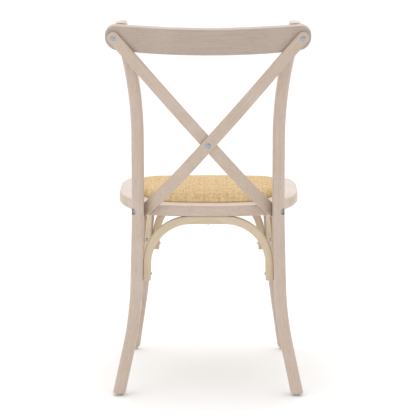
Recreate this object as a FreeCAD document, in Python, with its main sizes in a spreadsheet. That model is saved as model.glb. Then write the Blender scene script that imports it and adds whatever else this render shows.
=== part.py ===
import FreeCAD, Part
import math
import os

import Sketcher
from FreeCAD import Placement, Rotation, Vector

# Cross back dining chair with a woven rattan seat, in millimetres.
# The front faces -Y, +X is the sitter's left and the floor is at zero.
# The chair is laid out from the middle of its seat, and every piece is then
# shifted back by seat_centre_y so that the whole stands centred on the origin.

SIZES = (
    ("overall_height", 888.0, "floor to the top of the rear legs"),
    ("seat_centre_y", 47.0, "shift that centres the chair front to back"),
    ("seat_top", 448.5, "top of the wooden seat ring"),
    ("ring_thickness", 27.0, "seat ring, top to bottom"),
    ("ring_rear", 215.0, "seat middle to the rear of the ring"),
    ("ring_front", 204.0, "seat middle to the front of the ring"),
    ("ring_half_width", 220.0, "seat middle to the side of the ring"),
    ("ring_shoulder_in", 69.0, "ring's side in to its rear shoulder"),
    ("ring_rear_slope", 14.0, "slope of the rear edge at the shoulder, in degrees"),
    ("ring_shoulder_room", 23.5, "rear edge kept for rounding the shoulder"),
    ("ring_shoulder_bend", 40.0, "radius of the ring's rear shoulder"),
    ("ring_flank_back", 168.5, "rear of the ring forward to its widest line"),
    ("ring_flank_bend", 320.0, "radius of the ring's side"),
    ("ring_cheek_ahead", 61.3, "front of the ring back to where it narrows"),
    ("ring_cheek_bend", 250.0, "radius where the ring narrows"),
    ("ring_nose_in", 15.3, "ring's side in to its front corner"),
    ("ring_nose_bend", 24.0, "radius of the ring's front corner"),
    ("opening_corner_in", 10.0, "ring's side in to the square front corner"),
    ("opening_shoulder_bend", 25.0, "radius of the rattan's rear shoulder"),
    ("opening_corner_bend", 40.0, "radius of the rattan's front corner"),
    ("ring_band", 74.0, "seat ring, outer edge to opening"),
    ("ring_border", 43.0, "bare wood of the ring outside the rattan"),
    ("ring_rounding", 5.5, "rounding of the ring's outer edges"),
    ("rebate_depth", 9.0, "step in the ring that the board lies in"),
    ("board_clearance", 0.4, "gap around the board in its step"),
    ("rattan_rim", 12.5, "height of the rattan at its border"),
    ("rattan_crown", 5.5, "rise of the rattan to its middle"),
    ("rattan_rounding", 6.0, "rolled border of the rattan"),
    ("rear_leg_width", 29.0, "rear leg, side to side"),
    ("rear_leg_depth", 32.0, "rear leg, front to back"),
    ("rear_leg_corner", 8.5, "corner radius of the rear leg"),
    ("rear_leg_inset", 54.26, "ring's side in to the leg at seat height"),
    ("rear_leg_set", 8.0, "rear of the ring forward to the leg"),
    ("rear_leg_turn", 49.0, "angle of the bending plane, in degrees"),
    ("rear_foot_flare", 46.49, "leg at seat height out to its foot"),
    ("rear_knee_flare", 6.89, "leg at seat height out to its lower bend"),
    ("rear_knee_z", 181.7, "height of the lower bend"),
    ("rear_hip_drop", 26.0, "seat top down to where the leg turns upright"),
    ("rear_back_drop", 184.1, "top of the leg down to its upper bend"),
    ("rear_top_flare", 36.57, "leg at seat height out to its top"),
    ("rear_knee_bend", 552.0, "radius of the lower bend"),
    ("rear_hip_bend", 2500.0, "radius of the slight bend at the seat"),
    ("rear_back_bend", 662.0, "radius of the upper bend"),
    ("rear_leg_dome", 8.0, "rounding over the top of the rear leg"),
    ("rear_leg_dome_rise", 3.2, "dome's highest point over the leg's middle"),
    ("foot_chamfer", 2.0, "chamfer around each foot"),
    ("front_leg_top", 30.0, "front leg diameter under the seat"),
    ("front_leg_foot", 26.0, "front leg diameter at the foot"),
    ("front_leg_inset", 70.5, "ring's side in to the leg at the seat"),
    ("front_leg_set", 24.0, "front of the ring back to the leg"),
    ("front_leg_turn", 22.5, "angle of the leg's splay, in degrees"),
    ("front_knee_flare", 18.5, "leg at the seat out to its bend"),
    ("front_knee_z", 172.0, "height of the front leg's bend"),
    ("front_foot_flare", 43.5, "leg at the seat out to its foot"),
    ("front_leg_bend", 1400.0, "radius of the front leg's bend"),
    ("tenon_diameter", 18.0, "round tenon on top of the front leg"),
    ("tenon_length", 15.0, "length of that tenon"),
    ("joint_clearance", 0.3, "gap around tenons and curved contacts"),
    ("crest_overhang", 35.69, "leg's top out to the end of the crest rail"),
    ("crest_height", 63.0, "crest rail, top to bottom"),
    ("crest_end_radius", 30.0, "round end of the crest rail"),
    ("crest_thickness", 18.0, "crest rail, front to back"),
    ("crest_bow", 740.0, "radius that the crest rail is bent to"),
    ("crest_tilt", 15.0, "lean of the crest rail, in degrees"),
    ("crest_set", 80.0, "leg at seat height back to the rail's middle"),
    ("crest_drop", 46.0, "top of the legs down to the rail's middle"),
    ("crest_edge_bend", 900.0, "radius that eases the rail's long edges"),
    ("crest_end_gap", 0.6, "straight left between the roundings of its ends"),
    ("crest_rounding", 4.0, "rounding of the crest rail's edges"),
    ("strap_width", 29.0, "cross strap width"),
    ("strap_thickness", 7.0, "cross strap thickness"),
    ("strap_rounding", 1.6, "rounding of the strap's edges"),
    ("strap_screw_out", 11.49, "leg's top out to the strap's screw"),
    ("strap_top_rise", 2.0, "that screw above the rail's centre line"),
    ("strap_end_spare", 1.5, "strap left beyond its round end"),
    ("strap_out", 0.66, "sideways part of the straps' direction"),
    ("strap_up", 0.75, "upward part of the straps' direction"),
    ("cross_flat", 0.85, "flat run beside the crossing, in strap widths"),
    ("cross_set", 57.0, "leg at seat height back to the crossing"),
    ("cross_share", 0.4076, "crossing, from the corner bolt up to the rail"),
    ("cross_lean", 0.16, "backward lean of the straps there"),
    ("corner_bolt_drop", 14.0, "seat top down to the corner bolts"),
    ("corner_seat_cut", 0.7, "depth of the flat on the leg's corner"),
    ("bolt_head", 14.5, "corner bolt head diameter"),
    ("bolt_head_height", 3.6, "corner bolt head height"),
    ("bolt_shank", 6.0, "corner bolt diameter"),
    ("bolt_length", 66.0, "corner bolt length under its head"),
    ("bolt_recess", 16.0, "spot face for the bolt head"),
    ("bolt_seat", 10.5, "leg axis out to the spot face"),
    ("barrel_diameter", 10.0, "barrel nut diameter"),
    ("barrel_length", 16.0, "barrel nut length"),
    ("hole_clearance", 0.3, "gap around bolts, screws and dowels"),
    ("arch_size", 19.0, "arch, square section"),
    ("arch_corner", 2.5, "corner radius of the arches"),
    ("arch_drop", 181.5, "seat top down to all the arch ends"),
    ("arch_gap", 0.15, "glue line between arch and square leg"),
    ("rear_arch_set", 7.0, "rear leg forward to the rear arch"),
    ("rear_arch_bend", 105.0, "radius of the rear arch"),
    ("front_arch_bend", 110.0, "radius of the front arch"),
    ("side_arch_bend", 110.0, "radius of the side arches"),
    ("front_arch_drop", 6.0, "front arch forward of the leg's top"),
    ("screw_diameter", 4.0, "wood screw diameter"),
    ("screw_head", 8.0, "wood screw head diameter"),
    ("screw_head_height", 2.4, "wood screw head height"),
    ("leg_screw_length", 36.0, "screws from arch to leg"),
    ("seat_screw_length", 33.0, "screws from arch to seat"),
    ("board_screw_length", 22.0, "screws from ring to board"),
    ("board_screw_inset", 58.5, "ring's edge in to the board screws"),
    ("board_screw_sink", 4.0, "depth the board screws are sunk"),
    ("low_screw_rise", 15.0, "rear and front arch screws above the end"),
    ("high_screw_rise", 31.0, "side arch screws above the end"),
    ("crest_screw_head", 12.0, "head of the screw from strap to rail"),
    ("crest_screw", 5.0, "diameter of that screw"),
    ("crest_screw_length", 21.0, "length of that screw under its head"),
    ("cross_rivet_head", 13.0, "crossing rivet head diameter"),
    ("rivet_shank", 6.0, "rivet diameter"),
    ("rivet_head_height", 2.6, "rivet head height"),
    ("dowel_diameter", 8.0, "dowel from leg to crest rail"),
    ("dowel_length", 28.0, "dowel length"),
    ("dowel_spread", 26.0, "between the two dowels of a leg"),
    ("dowel_in_crest", 11.0, "depth of the dowel in the crest rail"),
    ("glide_diameter", 17.0, "foot glide diameter"),
    ("glide_height", 6.5, "foot glide height"),
    ("pin_diameter", 3.0, "glide pin diameter"),
    ("pin_length", 16.0, "glide pin above the glide's recess"),
    ("glide_recess", 3.0, "glide material under the pin"),
)

DERIVED = (
    ("rear_leg_x", "ring_half_width - rear_leg_inset", "middle to the rear leg"),
    ("rear_leg_y", "ring_rear - rear_leg_set", "seat middle back to the rear leg"),
    ("rear_foot_x", "rear_leg_x + rear_foot_flare", "middle to the rear foot"),
    ("rear_knee_x", "rear_leg_x + rear_knee_flare", "middle to the lower bend"),
    ("rear_top_x", "rear_leg_x + rear_top_flare", "middle to the top of the leg"),
    ("rear_hip_z", "seat_top - rear_hip_drop", "height where the leg turns upright"),
    ("rear_back_z", "overall_height - rear_back_drop", "height of the upper bend"),
    ("front_leg_x", "ring_half_width - front_leg_inset", "middle to the front leg"),
    ("front_leg_y", "ring_front - front_leg_set", "seat middle forward to that leg"),
    ("front_knee_x", "front_leg_x + front_knee_flare", "middle to its bend"),
    ("front_foot_x", "front_leg_x + front_foot_flare", "middle to its foot"),
    ("crest_length", "2 * (rear_top_x + crest_overhang)", "crest rail, end to end"),
    ("crest_y", "rear_leg_y + crest_set", "seat middle back to the rail"),
    ("crest_z", "overall_height - crest_drop", "floor to the rail's middle"),
    ("strap_top_x", "rear_top_x + strap_screw_out", "middle to the strap's screw"),
    ("cross_y", "rear_leg_y + cross_set", "seat middle back to the crossing"),
    ("corner_bolt_z", "seat_top - corner_bolt_drop", "floor to the corner bolts"),
    ("cross_z", "corner_bolt_z + cross_share * (crest_z - corner_bolt_z)", "crossing"),
    ("arch_foot_z", "seat_top - arch_drop", "height of all the arch ends"),
    ("rear_arch_y", "rear_leg_y - rear_arch_set", "seat middle back to that arch"),
)

UP = Vector(0.0, 0.0, 1.0)
EAST = Vector(1.0, 0.0, 0.0)
NORTH = Vector(0.0, 1.0, 0.0)
SIDES = (("left", 1.0), ("right", -1.0))
OVERRUN = 20.0
WIDE = 80.0
TOUCH = 1e-6
HALF_TURN = 180.0

doc = FreeCAD.newDocument("cross_back_chair")
sheet = doc.addObject("Spreadsheet::Sheet", "Sizes")
ROWS = SIZES + tuple((alias, "=" + formula, note) for alias, formula, note in DERIVED)
for row, (alias, value, note) in enumerate(ROWS, start=1):
    sheet.set("A%d" % row, note)
    sheet.set("B%d" % row, str(value))
    sheet.setAlias("B%d" % row, alias)
doc.recompute()
parts = []


def size(alias):
    """Read one driving size from the sheet."""
    return float(getattr(sheet, alias))


def bind(item, prop, formula):
    """Bind a property to a formula of sheet sizes written as plain names."""
    words = formula.split()
    names = [alias for alias, value, note in ROWS]
    written = ["Sizes." + word if word in names else word for word in words]
    item.setExpression(prop, " ".join(written))


def cosine(degrees):
    """Cosine of an angle in degrees."""
    return math.cos(math.radians(degrees))


def sine(degrees):
    """Sine of an angle in degrees."""
    return math.sin(math.radians(degrees))


def unit(vector):
    """A copy of a vector with length one."""
    copy = Vector(vector)
    copy.normalize()
    return copy


def flat(x, y):
    """A point in a sketch."""
    return Vector(x, y, 0.0)


# Outlines


def corner_arc(before, corner, after, radius):
    """Start, middle and end of the arc that rounds a corner."""
    inward = unit(before - corner)
    outward = unit(after - corner)
    half = inward.getAngle(outward) / 2.0
    reach = radius / math.tan(half)
    middle = unit(inward + outward) * (radius / math.sin(half) - radius)
    return corner + inward * reach, corner + middle, corner + outward * reach


def rounded_path(corners, radii):
    """Open line of straights and arcs through the given corners."""
    edges = []
    last = corners[0]
    for index, radius in enumerate(radii, start=1):
        arc = corner_arc(corners[index - 1], corners[index], corners[index + 1], radius)
        edges.append(Part.LineSegment(last, arc[0]))
        edges.append(Part.Arc(arc[0], arc[1], arc[2]))
        last = arc[2]
    edges.append(Part.LineSegment(last, corners[-1]))
    return edges


def rounded_loop(corners, radii):
    """Closed outline of straights and arcs around the given corners."""
    count = len(corners)
    arcs = []
    for index in range(count):
        nearby = (corners[index - 1], corners[index], corners[(index + 1) % count])
        arcs.append(corner_arc(nearby[0], nearby[1], nearby[2], radii[index]))
    edges = []
    for index in range(count):
        following = arcs[(index + 1) % count]
        edges.append(Part.Arc(arcs[index][0], arcs[index][1], arcs[index][2]))
        if arcs[index][2].distanceToPoint(following[0]) > TOUCH:
            edges.append(Part.LineSegment(arcs[index][2], following[0]))
    return edges


def inset(corners, distance):
    """Corners of an outline drawn clockwise, moved inward by a distance."""
    count = len(corners)
    moved = []
    for index in range(count):
        before = unit(corners[index] - corners[index - 1])
        after = unit(corners[(index + 1) % count] - corners[index])
        turn = before.getAngle(after) / 2.0
        side = unit(Vector(before.y + after.y, -before.x - after.x, 0.0))
        moved.append(corners[index] + side * (distance / math.cos(turn)))
    return moved


def rounded_block(width, depth, radius):
    """Rectangle with round corners about its middle."""
    x = width / 2.0
    y = depth / 2.0
    corners = [flat(-x, -y), flat(-x, y), flat(x, y), flat(x, -y)]
    return rounded_loop(corners, [radius] * 4)


# Bodies and their features


def new_body(name):
    """A body that will be written as one piece."""
    body = doc.addObject("PartDesign::Body", name)
    body.Label = name
    parts.append(body)
    return body


def plane_of(body, role):
    """One of the body's own origin planes."""
    found = [item for item in body.Origin.OriginFeatures if item.Role == role]
    return found[0]


def new_sketch(body, name, role, edges, offset=None):
    """A sketch on one of the body's origin planes."""
    sketch = body.newObject("Sketcher::SketchObject", name)
    sketch.AttachmentSupport = [(plane_of(body, role), "")]
    sketch.MapMode = "FlatFace"
    if offset is not None:
        sketch.AttachmentOffset = offset
    numbers = sketch.addGeometry(edges, False)
    join_ends(sketch, numbers)
    return sketch


def join_ends(sketch, numbers):
    """Tie the ends of neighbouring edges together."""
    ends = []
    for number in numbers:
        edge = sketch.Geometry[number]
        if hasattr(edge, "StartPoint"):
            ends.append((number, 1, Vector(sketch.getPoint(number, 1))))
            ends.append((number, 2, Vector(sketch.getPoint(number, 2))))
    for first in range(len(ends)):
        for second in range(first + 1, len(ends)):
            one = ends[first]
            other = ends[second]
            if one[0] != other[0] and one[2].distanceToPoint(other[2]) < TOUCH:
                tie = Sketcher.Constraint("Coincident", one[0], one[1], other[0], other[1])
                sketch.addConstraint(tie)


def across(start, heading):
    """Place a section at a point, square to a heading."""
    return Placement(start, Rotation(UP, heading))


def facing(point, first, second):
    """Placement at a point whose X and Y axes are the two given directions."""
    return Placement(point, Rotation(first, second, first.cross(second), "XYZ"))


def pipe(body, name, sections, path):
    """Sweep one section, or blend two, along a flat path without a twist."""
    doc.recompute()
    swept = body.newObject("PartDesign::AdditivePipe", name)
    swept.Profile = sections[0]
    swept.Spine = path
    swept.Mode = "Binormal"
    swept.Binormal = path.Placement.Rotation.multVec(UP)
    if len(sections) > 1:
        swept.Transformation = "Multisection"
        swept.Sections = sections[1:]
    body.Tip = swept
    doc.recompute()
    return swept


def pad(body, name, sketch, formula, midplane=False, reverse=False):
    """Pad a sketch by a bound length."""
    grown = body.newObject("PartDesign::Pad", name)
    grown.Profile = sketch
    grown.Midplane = midplane
    grown.Reversed = reverse
    bind(grown, "Length", formula)
    body.Tip = grown
    doc.recompute()
    return grown


def pocket(body, name, sketch, depth, reverse=False):
    """Pocket a sketch and make sure that it took material away."""
    before = body.Shape.Volume
    cut = body.newObject("PartDesign::Pocket", name)
    cut.Profile = sketch
    cut.Length = depth
    cut.Reversed = reverse
    body.Tip = cut
    doc.recompute()
    if body.Shape.Volume >= before:
        raise RuntimeError(body.Label + ": " + name + " cuts nothing")
    return cut


def drill(body, name, start, heading, width, length):
    """Round hole from a point along a heading, with bound sizes."""
    hole = body.newObject("PartDesign::SubtractiveCylinder", name)
    hole.Placement = across(start, heading)
    bind(hole, "Radius", width)
    bind(hole, "Height", length)
    body.Tip = hole
    return hole


def carve(body, name, place, length, width, height):
    """Box cut that stands on its placement, centred along X and Y."""
    block = body.newObject("PartDesign::SubtractiveBox", name)
    middle = Placement(Vector(-length / 2.0, -width / 2.0, 0.0), Rotation())
    block.Placement = place.multiply(middle)
    block.Length = length
    block.Width = width
    block.Height = height
    body.Tip = block
    return block


def edges_where(shape, wanted):
    """Names of the edges whose middle meets a condition."""
    named = enumerate(shape.Edges, start=1)
    return ["Edge%d" % number for number, edge in named if wanted(edge)]


def round_off(body, name, wanted, formula):
    """Round the edges that meet a condition, by a bound radius."""
    doc.recompute()
    base = body.Tip
    rounding = body.newObject("PartDesign::Fillet", name)
    rounding.Base = (base, edges_where(base.Shape, wanted))
    bind(rounding, "Radius", formula)
    body.Tip = rounding
    doc.recompute()
    return rounding


def bevel(body, name, wanted, formula):
    """Chamfer the edges that meet a condition, by a bound size."""
    doc.recompute()
    base = body.Tip
    cut = body.newObject("PartDesign::Chamfer", name)
    cut.Base = (base, edges_where(base.Shape, wanted))
    bind(cut, "Size", formula)
    body.Tip = cut
    doc.recompute()
    return cut


# Fastenings, built from primitives


def rod(name, place, radius, length):
    """Cylinder with bound sizes."""
    item = doc.addObject("Part::Cylinder", name)
    item.Placement = place
    bind(item, "Radius", radius)
    bind(item, "Height", length)
    return item


def dome(name, place, head, height):
    """Low dome, flat side down on its placement."""
    radius = size(head) / 2.0
    rise = size(height)
    ball = (radius * radius + rise * rise) / (2.0 * rise)
    item = doc.addObject("Part::Sphere", name)
    item.Radius = ball
    item.Angle1 = math.degrees(math.asin((ball - rise) / ball))
    item.Placement = place.multiply(Placement(Vector(0.0, 0.0, rise - ball), Rotation()))
    return item


def pin_with_head(name, start, heading, head, height, shank, length):
    """Domed head whose flat side is at a point, with a shank along the heading."""
    top = dome(name + "_head", across(start, heading * -1.0), head, height)
    stem = rod(name + "_shank", across(start, heading), shank, length)
    joined = doc.addObject("Part::Fuse", name)
    joined.Base = stem
    joined.Tool = top
    return joined


def group(name, items):
    """One node that holds several separate pieces of one kind."""
    together = doc.addObject("Part::Compound", name)
    together.Label = name
    together.Links = items
    parts.append(together)
    return together


# Lines that several pieces share


def rear_leg_point(x, z, side):
    """Point on the rear leg's bending plane."""
    back = (x - size("rear_leg_x")) * math.tan(math.radians(size("rear_leg_turn")))
    return Vector(side * x, size("rear_leg_y") + back, z)


def rear_leg_corners():
    """Corners of the rear leg's centre line as distance out and height."""
    middle = size("rear_leg_x")
    top = size("overall_height") - size("rear_leg_dome_rise")
    slope = (size("rear_foot_x") - size("rear_knee_x")) / size("rear_knee_z")
    outs = (
        (size("rear_foot_x") + slope * OVERRUN, -OVERRUN),
        (size("rear_knee_x"), size("rear_knee_z")),
        (middle, size("rear_hip_z")),
        (middle, size("rear_back_z")),
        (size("rear_top_x"), top),
    )
    squash = cosine(size("rear_leg_turn"))
    return [flat((x - middle) / squash, z) for x, z in outs]


def rear_leg_x_at(z):
    """Distance out to the rear leg's centre line, on its straight runs."""
    points = rear_leg_corners()
    for low, high in zip(points[:-1], points[1:]):
        if low.y <= z <= high.y:
            part = (z - low.y) / (high.y - low.y)
            run = low.x + part * (high.x - low.x)
            return size("rear_leg_x") + run * cosine(size("rear_leg_turn"))
    return size("rear_top_x")


def front_leg_point(x, z, side):
    """Point on the front leg's splay plane."""
    out = (x - size("front_leg_x")) * math.tan(math.radians(size("front_leg_turn")))
    return Vector(side * x, -size("front_leg_y") - out, z)


def front_leg_x_at(z):
    """Distance out to the front leg's centre line above its bend."""
    low = size("front_knee_z")
    high = ring_bottom()
    part = (high - z) / (high - low)
    return size("front_leg_x") + part * (size("front_knee_x") - size("front_leg_x"))


def front_leg_radius_at(z):
    """Radius of the front leg at a height."""
    part = z / ring_bottom()
    foot = size("front_leg_foot")
    return (foot + part * (size("front_leg_top") - foot)) / 2.0


def ring_bottom():
    """Height of the underside of the seat ring."""
    return size("seat_top") - size("ring_thickness")


def corner_heading(side):
    """Direction of the seat corner bolt, from its head inward."""
    return unit(Vector(-side, -1.0, 0.0))


def corner_point(side, along):
    """Point on the line of the corner bolt, measured inward from the leg's axis."""
    axis = Vector(side * size("rear_leg_x"), size("rear_leg_y"), size("corner_bolt_z"))
    return axis + corner_heading(side) * along


def leg_seat():
    """Leg axis in to the flat on the leg's inner front corner."""
    diagonal = (size("rear_leg_width") + size("rear_leg_depth")) / 2.0 / math.sqrt(2.0)
    rounding = size("rear_leg_corner") * (math.sqrt(2.0) - 1.0)
    return diagonal - rounding - size("corner_seat_cut")


def strap_middle():
    """Leg axis in to the middle of the strap's end."""
    return leg_seat() + size("joint_clearance") + size("strap_thickness") / 2.0


def ring_seat():
    """Leg axis in to the flat on the seat ring's corner."""
    return strap_middle() + size("strap_thickness") / 2.0 + size("joint_clearance")


def crest_frame():
    """Middle, upward and backward directions of the crest rail."""
    tilt = size("crest_tilt")
    middle = Vector(0.0, size("crest_y"), size("crest_z"))
    upward = Vector(0.0, sine(tilt), cosine(tilt))
    backward = Vector(0.0, cosine(tilt), -sine(tilt))
    return middle, upward, backward


def crest_point(x, rise, out):
    """Point and normal out from the bent rail, whose middle layer is at x."""
    middle, upward, backward = crest_frame()
    radius = size("crest_bow")
    angle = math.asin(x / radius)
    depth = (radius + out) * math.cos(angle) - radius
    across_rail = EAST * ((radius + out) * math.sin(angle))
    point = middle + across_rail + upward * rise + backward * depth
    normal = EAST * math.sin(angle) + backward * math.cos(angle)
    return point, normal


def rear_bow(length):
    """Radius of the rear edge that leaves room for rounding the shoulder."""
    slope = math.radians(size("ring_rear_slope"))
    return (length - size("ring_shoulder_room")) / math.tan(slope)


def ring_corners():
    """Corners and radii of the seat ring's outer outline, clockwise from above."""
    wide = size("ring_half_width")
    rear = size("ring_rear")
    front = -size("ring_front")
    slope = size("ring_rear_slope")
    reach = wide - size("ring_shoulder_in")
    bow = rear_bow(reach / cosine(slope))
    tip = flat(0.0, rear + bow * (1.0 / cosine(slope) - 1.0))
    shoulder = flat(reach, tip.y - reach * math.tan(math.radians(slope)))
    flank = flat(wide, rear - size("ring_flank_back"))
    cheek = flat(wide, front + size("ring_cheek_ahead"))
    nose = flat(wide - size("ring_nose_in"), front)
    right = [shoulder, flank, cheek, nose]
    left = [flat(-point.x, point.y) for point in reversed(right)]
    bends = ("ring_shoulder_bend", "ring_flank_bend", "ring_cheek_bend", "ring_nose_bend")
    radii = [size(bend) for bend in bends]
    return [tip] + right + left, [bow] + radii + radii[::-1]


def opening_corners():
    """Corners of the seat ring's outline with plain front corners, clockwise."""
    corners = ring_corners()[0]
    corner = flat(size("ring_half_width") - size("opening_corner_in"), -size("ring_front"))
    right = [corners[1], corners[2], corner]
    left = [flat(-point.x, point.y) for point in reversed(right)]
    return [corners[0]] + right + left


def ring_outline(distance=0.0):
    """Outline of the seat ring, or the softer one that lies inside it."""
    if distance == 0.0:
        corners, radii = ring_corners()
        return rounded_loop(corners, radii)
    corners = inset(opening_corners(), distance)
    bow = rear_bow(corners[0].distanceToPoint(corners[1]))
    flank = size("ring_flank_bend") - distance
    shoulder = size("opening_shoulder_bend")
    corner = size("opening_corner_bend")
    return rounded_loop(corners, [bow, shoulder, flank, corner, corner, flank, shoulder])


# Pieces of the frame


def make_rear_leg(name, side):
    """Rear leg and back post, bent in one piece from foot to domed top."""
    body = new_body("rear_leg_" + name)
    turn = size("rear_leg_turn") if side > 0.0 else HALF_TURN - size("rear_leg_turn")
    centre = Vector(side * size("rear_leg_x"), 0.0, -size("rear_leg_y"))
    bends = [size("rear_knee_bend"), size("rear_hip_bend"), size("rear_back_bend")]
    corners = rear_leg_corners()
    place = Placement(centre, Rotation(NORTH, turn))
    path = new_sketch(body, "BentLine", "XZ_Plane", rounded_path(corners, bends), place)
    low = rear_leg_x_at(-OVERRUN)
    start = rear_leg_point(low, -OVERRUN, side)
    aim = rear_leg_point(size("rear_knee_x"), size("rear_knee_z"), side) - start
    block = rounded_block(size("rear_leg_width"), size("rear_leg_depth"), size("rear_leg_corner"))
    section = new_sketch(body, "LegSection", "XY_Plane", block, across(start, unit(aim)))
    pipe(body, "BentLeg", [section], path)
    top = size("overall_height") - size("rear_leg_depth") / 4.0
    round_off(body, "DomedTop", lambda edge: edge.CenterOfMass.z > top, "rear_leg_dome")
    foot = rear_leg_x_at(size("glide_height"))
    ground = rear_leg_point(foot, size("glide_height"), side)
    under = Placement(ground - UP * WIDE, Rotation())
    carve(body, "FootCut", under, WIDE, WIDE, WIDE)
    sole = size("glide_height") + 0.01
    bevel(body, "FootChamfer", lambda edge: edge.BoundBox.ZMax < sole, "foot_chamfer")
    drill(body, "GlidePinHole", ground, UP, "pin_diameter / 2 + hole_clearance / 2", "pin_length")
    cut_crest_seat(body, side)
    cut_corner_joint(body, side)
    for heading, point in leg_screw_lines(side)[:2]:
        drill(body, "ArchScrewHole", point, heading, "screw_diameter / 2 + hole_clearance / 2",
              "leg_screw_length + hole_clearance")
    return body


def cut_crest_seat(body, side):
    """Flat on the back of the leg for the crest rail, with its dowel holes."""
    upward = crest_frame()[1]
    out = -size("crest_thickness") / 2.0 - size("joint_clearance") * 1.3
    reach = size("crest_height") / 2.0 + size("joint_clearance")
    point, normal = crest_point(side * crest_joint_x(), 0.0, out)
    place = facing(point, upward.cross(normal), upward)
    carve(body, "CrestSeat", place, WIDE, 2.0 * reach, OVERRUN)
    for start, heading in dowel_lines(side):
        drill(body, "DowelHole", start, heading, "dowel_diameter / 2 + hole_clearance / 2",
              "dowel_length + hole_clearance")


def crest_joint_x():
    """Distance out to the middle of the leg behind the crest rail."""
    return rear_leg_x_at(size("crest_z") + size("crest_rounding"))


def dowel_lines(side):
    """Start inside the crest rail and forward heading of both dowels of a leg."""
    lines = []
    deep = -size("crest_thickness") / 2.0 + size("dowel_in_crest")
    for rise in (-size("dowel_spread") / 2.0, size("dowel_spread") / 2.0):
        point, normal = crest_point(side * crest_joint_x(), rise, -size("crest_thickness") / 2.0)
        inside = point + normal * (deep + size("crest_thickness") / 2.0)
        lines.append((inside, normal * -1.0))
    return lines


def cut_corner_joint(body, side):
    """Bolt hole, spot face and the flat that clamps the strap's end."""
    inward = corner_heading(side)
    seat = corner_point(side, leg_seat())
    cut = across(seat, inward)
    carve(body, "StrapFlat", cut, WIDE, WIDE, OVERRUN)
    outside = corner_point(side, -size("bolt_seat"))
    drill(body, "HeadRecess", outside, inward * -1.0, "bolt_recess / 2", "bolt_recess")
    drill(body, "BoltHole", outside, inward, "bolt_shank / 2 + hole_clearance", "rear_leg_depth")


def make_front_leg(name, side):
    """Round tapered front leg with a tenon for the seat ring."""
    body = new_body("front_leg_" + name)
    turn = -size("front_leg_turn") if side > 0.0 else HALF_TURN + size("front_leg_turn")
    centre = Vector(side * size("front_leg_x"), 0.0, size("front_leg_y"))
    squash = cosine(size("front_leg_turn"))
    middle = size("front_leg_x")
    foot_slope = (size("front_foot_x") - size("front_knee_x")) / size("front_knee_z")
    foot_x = size("front_foot_x") + foot_slope * OVERRUN
    top_x = front_leg_x_at(ring_bottom() + OVERRUN)
    outs = (
        (foot_x, -OVERRUN),
        (size("front_knee_x"), size("front_knee_z")),
        (top_x, ring_bottom() + OVERRUN),
    )
    corners = [flat((x - middle) / squash, z) for x, z in outs]
    line = rounded_path(corners, [size("front_leg_bend")])
    place = Placement(centre, Rotation(NORTH, turn))
    path = new_sketch(body, "BentLine", "XZ_Plane", line, place)
    sections = []
    for number, alias in ((0, "front_leg_foot"), (2, "front_leg_top")):
        here = front_leg_point(outs[number][0], outs[number][1], side)
        knee = front_leg_point(outs[1][0], outs[1][1], side)
        aim = unit(knee - here) if number == 0 else unit(here - knee)
        circle = [Part.Circle(Vector(), UP, size(alias) / 2.0)]
        sections.append(new_sketch(body, alias, "XY_Plane", circle, across(here, aim)))
    pipe(body, "BentLeg", sections, path)
    ground = front_foot(side)
    under = Placement(ground - UP * WIDE, Rotation())
    carve(body, "FootCut", under, WIDE, WIDE, WIDE)
    shoulder = Vector(side * middle, -size("front_leg_y"), ring_bottom())
    above = Placement(shoulder, Rotation())
    carve(body, "Shoulder", above, WIDE, WIDE, WIDE)
    sole = size("glide_height") + 0.01
    bevel(body, "FootChamfer", lambda edge: edge.BoundBox.ZMax < sole, "foot_chamfer")
    tenon = body.newObject("PartDesign::AdditiveCylinder", "Tenon")
    tenon.Placement = above
    bind(tenon, "Radius", "tenon_diameter / 2")
    bind(tenon, "Height", "tenon_length")
    body.Tip = tenon
    drill(body, "GlidePinHole", ground, UP, "pin_diameter / 2 + hole_clearance / 2", "pin_length")
    for heading, point in leg_screw_lines(side)[2:]:
        drill(body, "ArchScrewHole", point, heading, "screw_diameter / 2 + hole_clearance / 2",
              "leg_screw_length + hole_clearance")
    return body


def front_foot(side):
    """Middle of the front leg's sole."""
    slope = (size("front_foot_x") - size("front_knee_x")) / size("front_knee_z")
    x = size("front_foot_x") - slope * size("glide_height")
    return front_leg_point(x, size("glide_height"), side)


def rear_foot(side):
    """Middle of the rear leg's sole."""
    return rear_leg_point(rear_leg_x_at(size("glide_height")), size("glide_height"), side)


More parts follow.
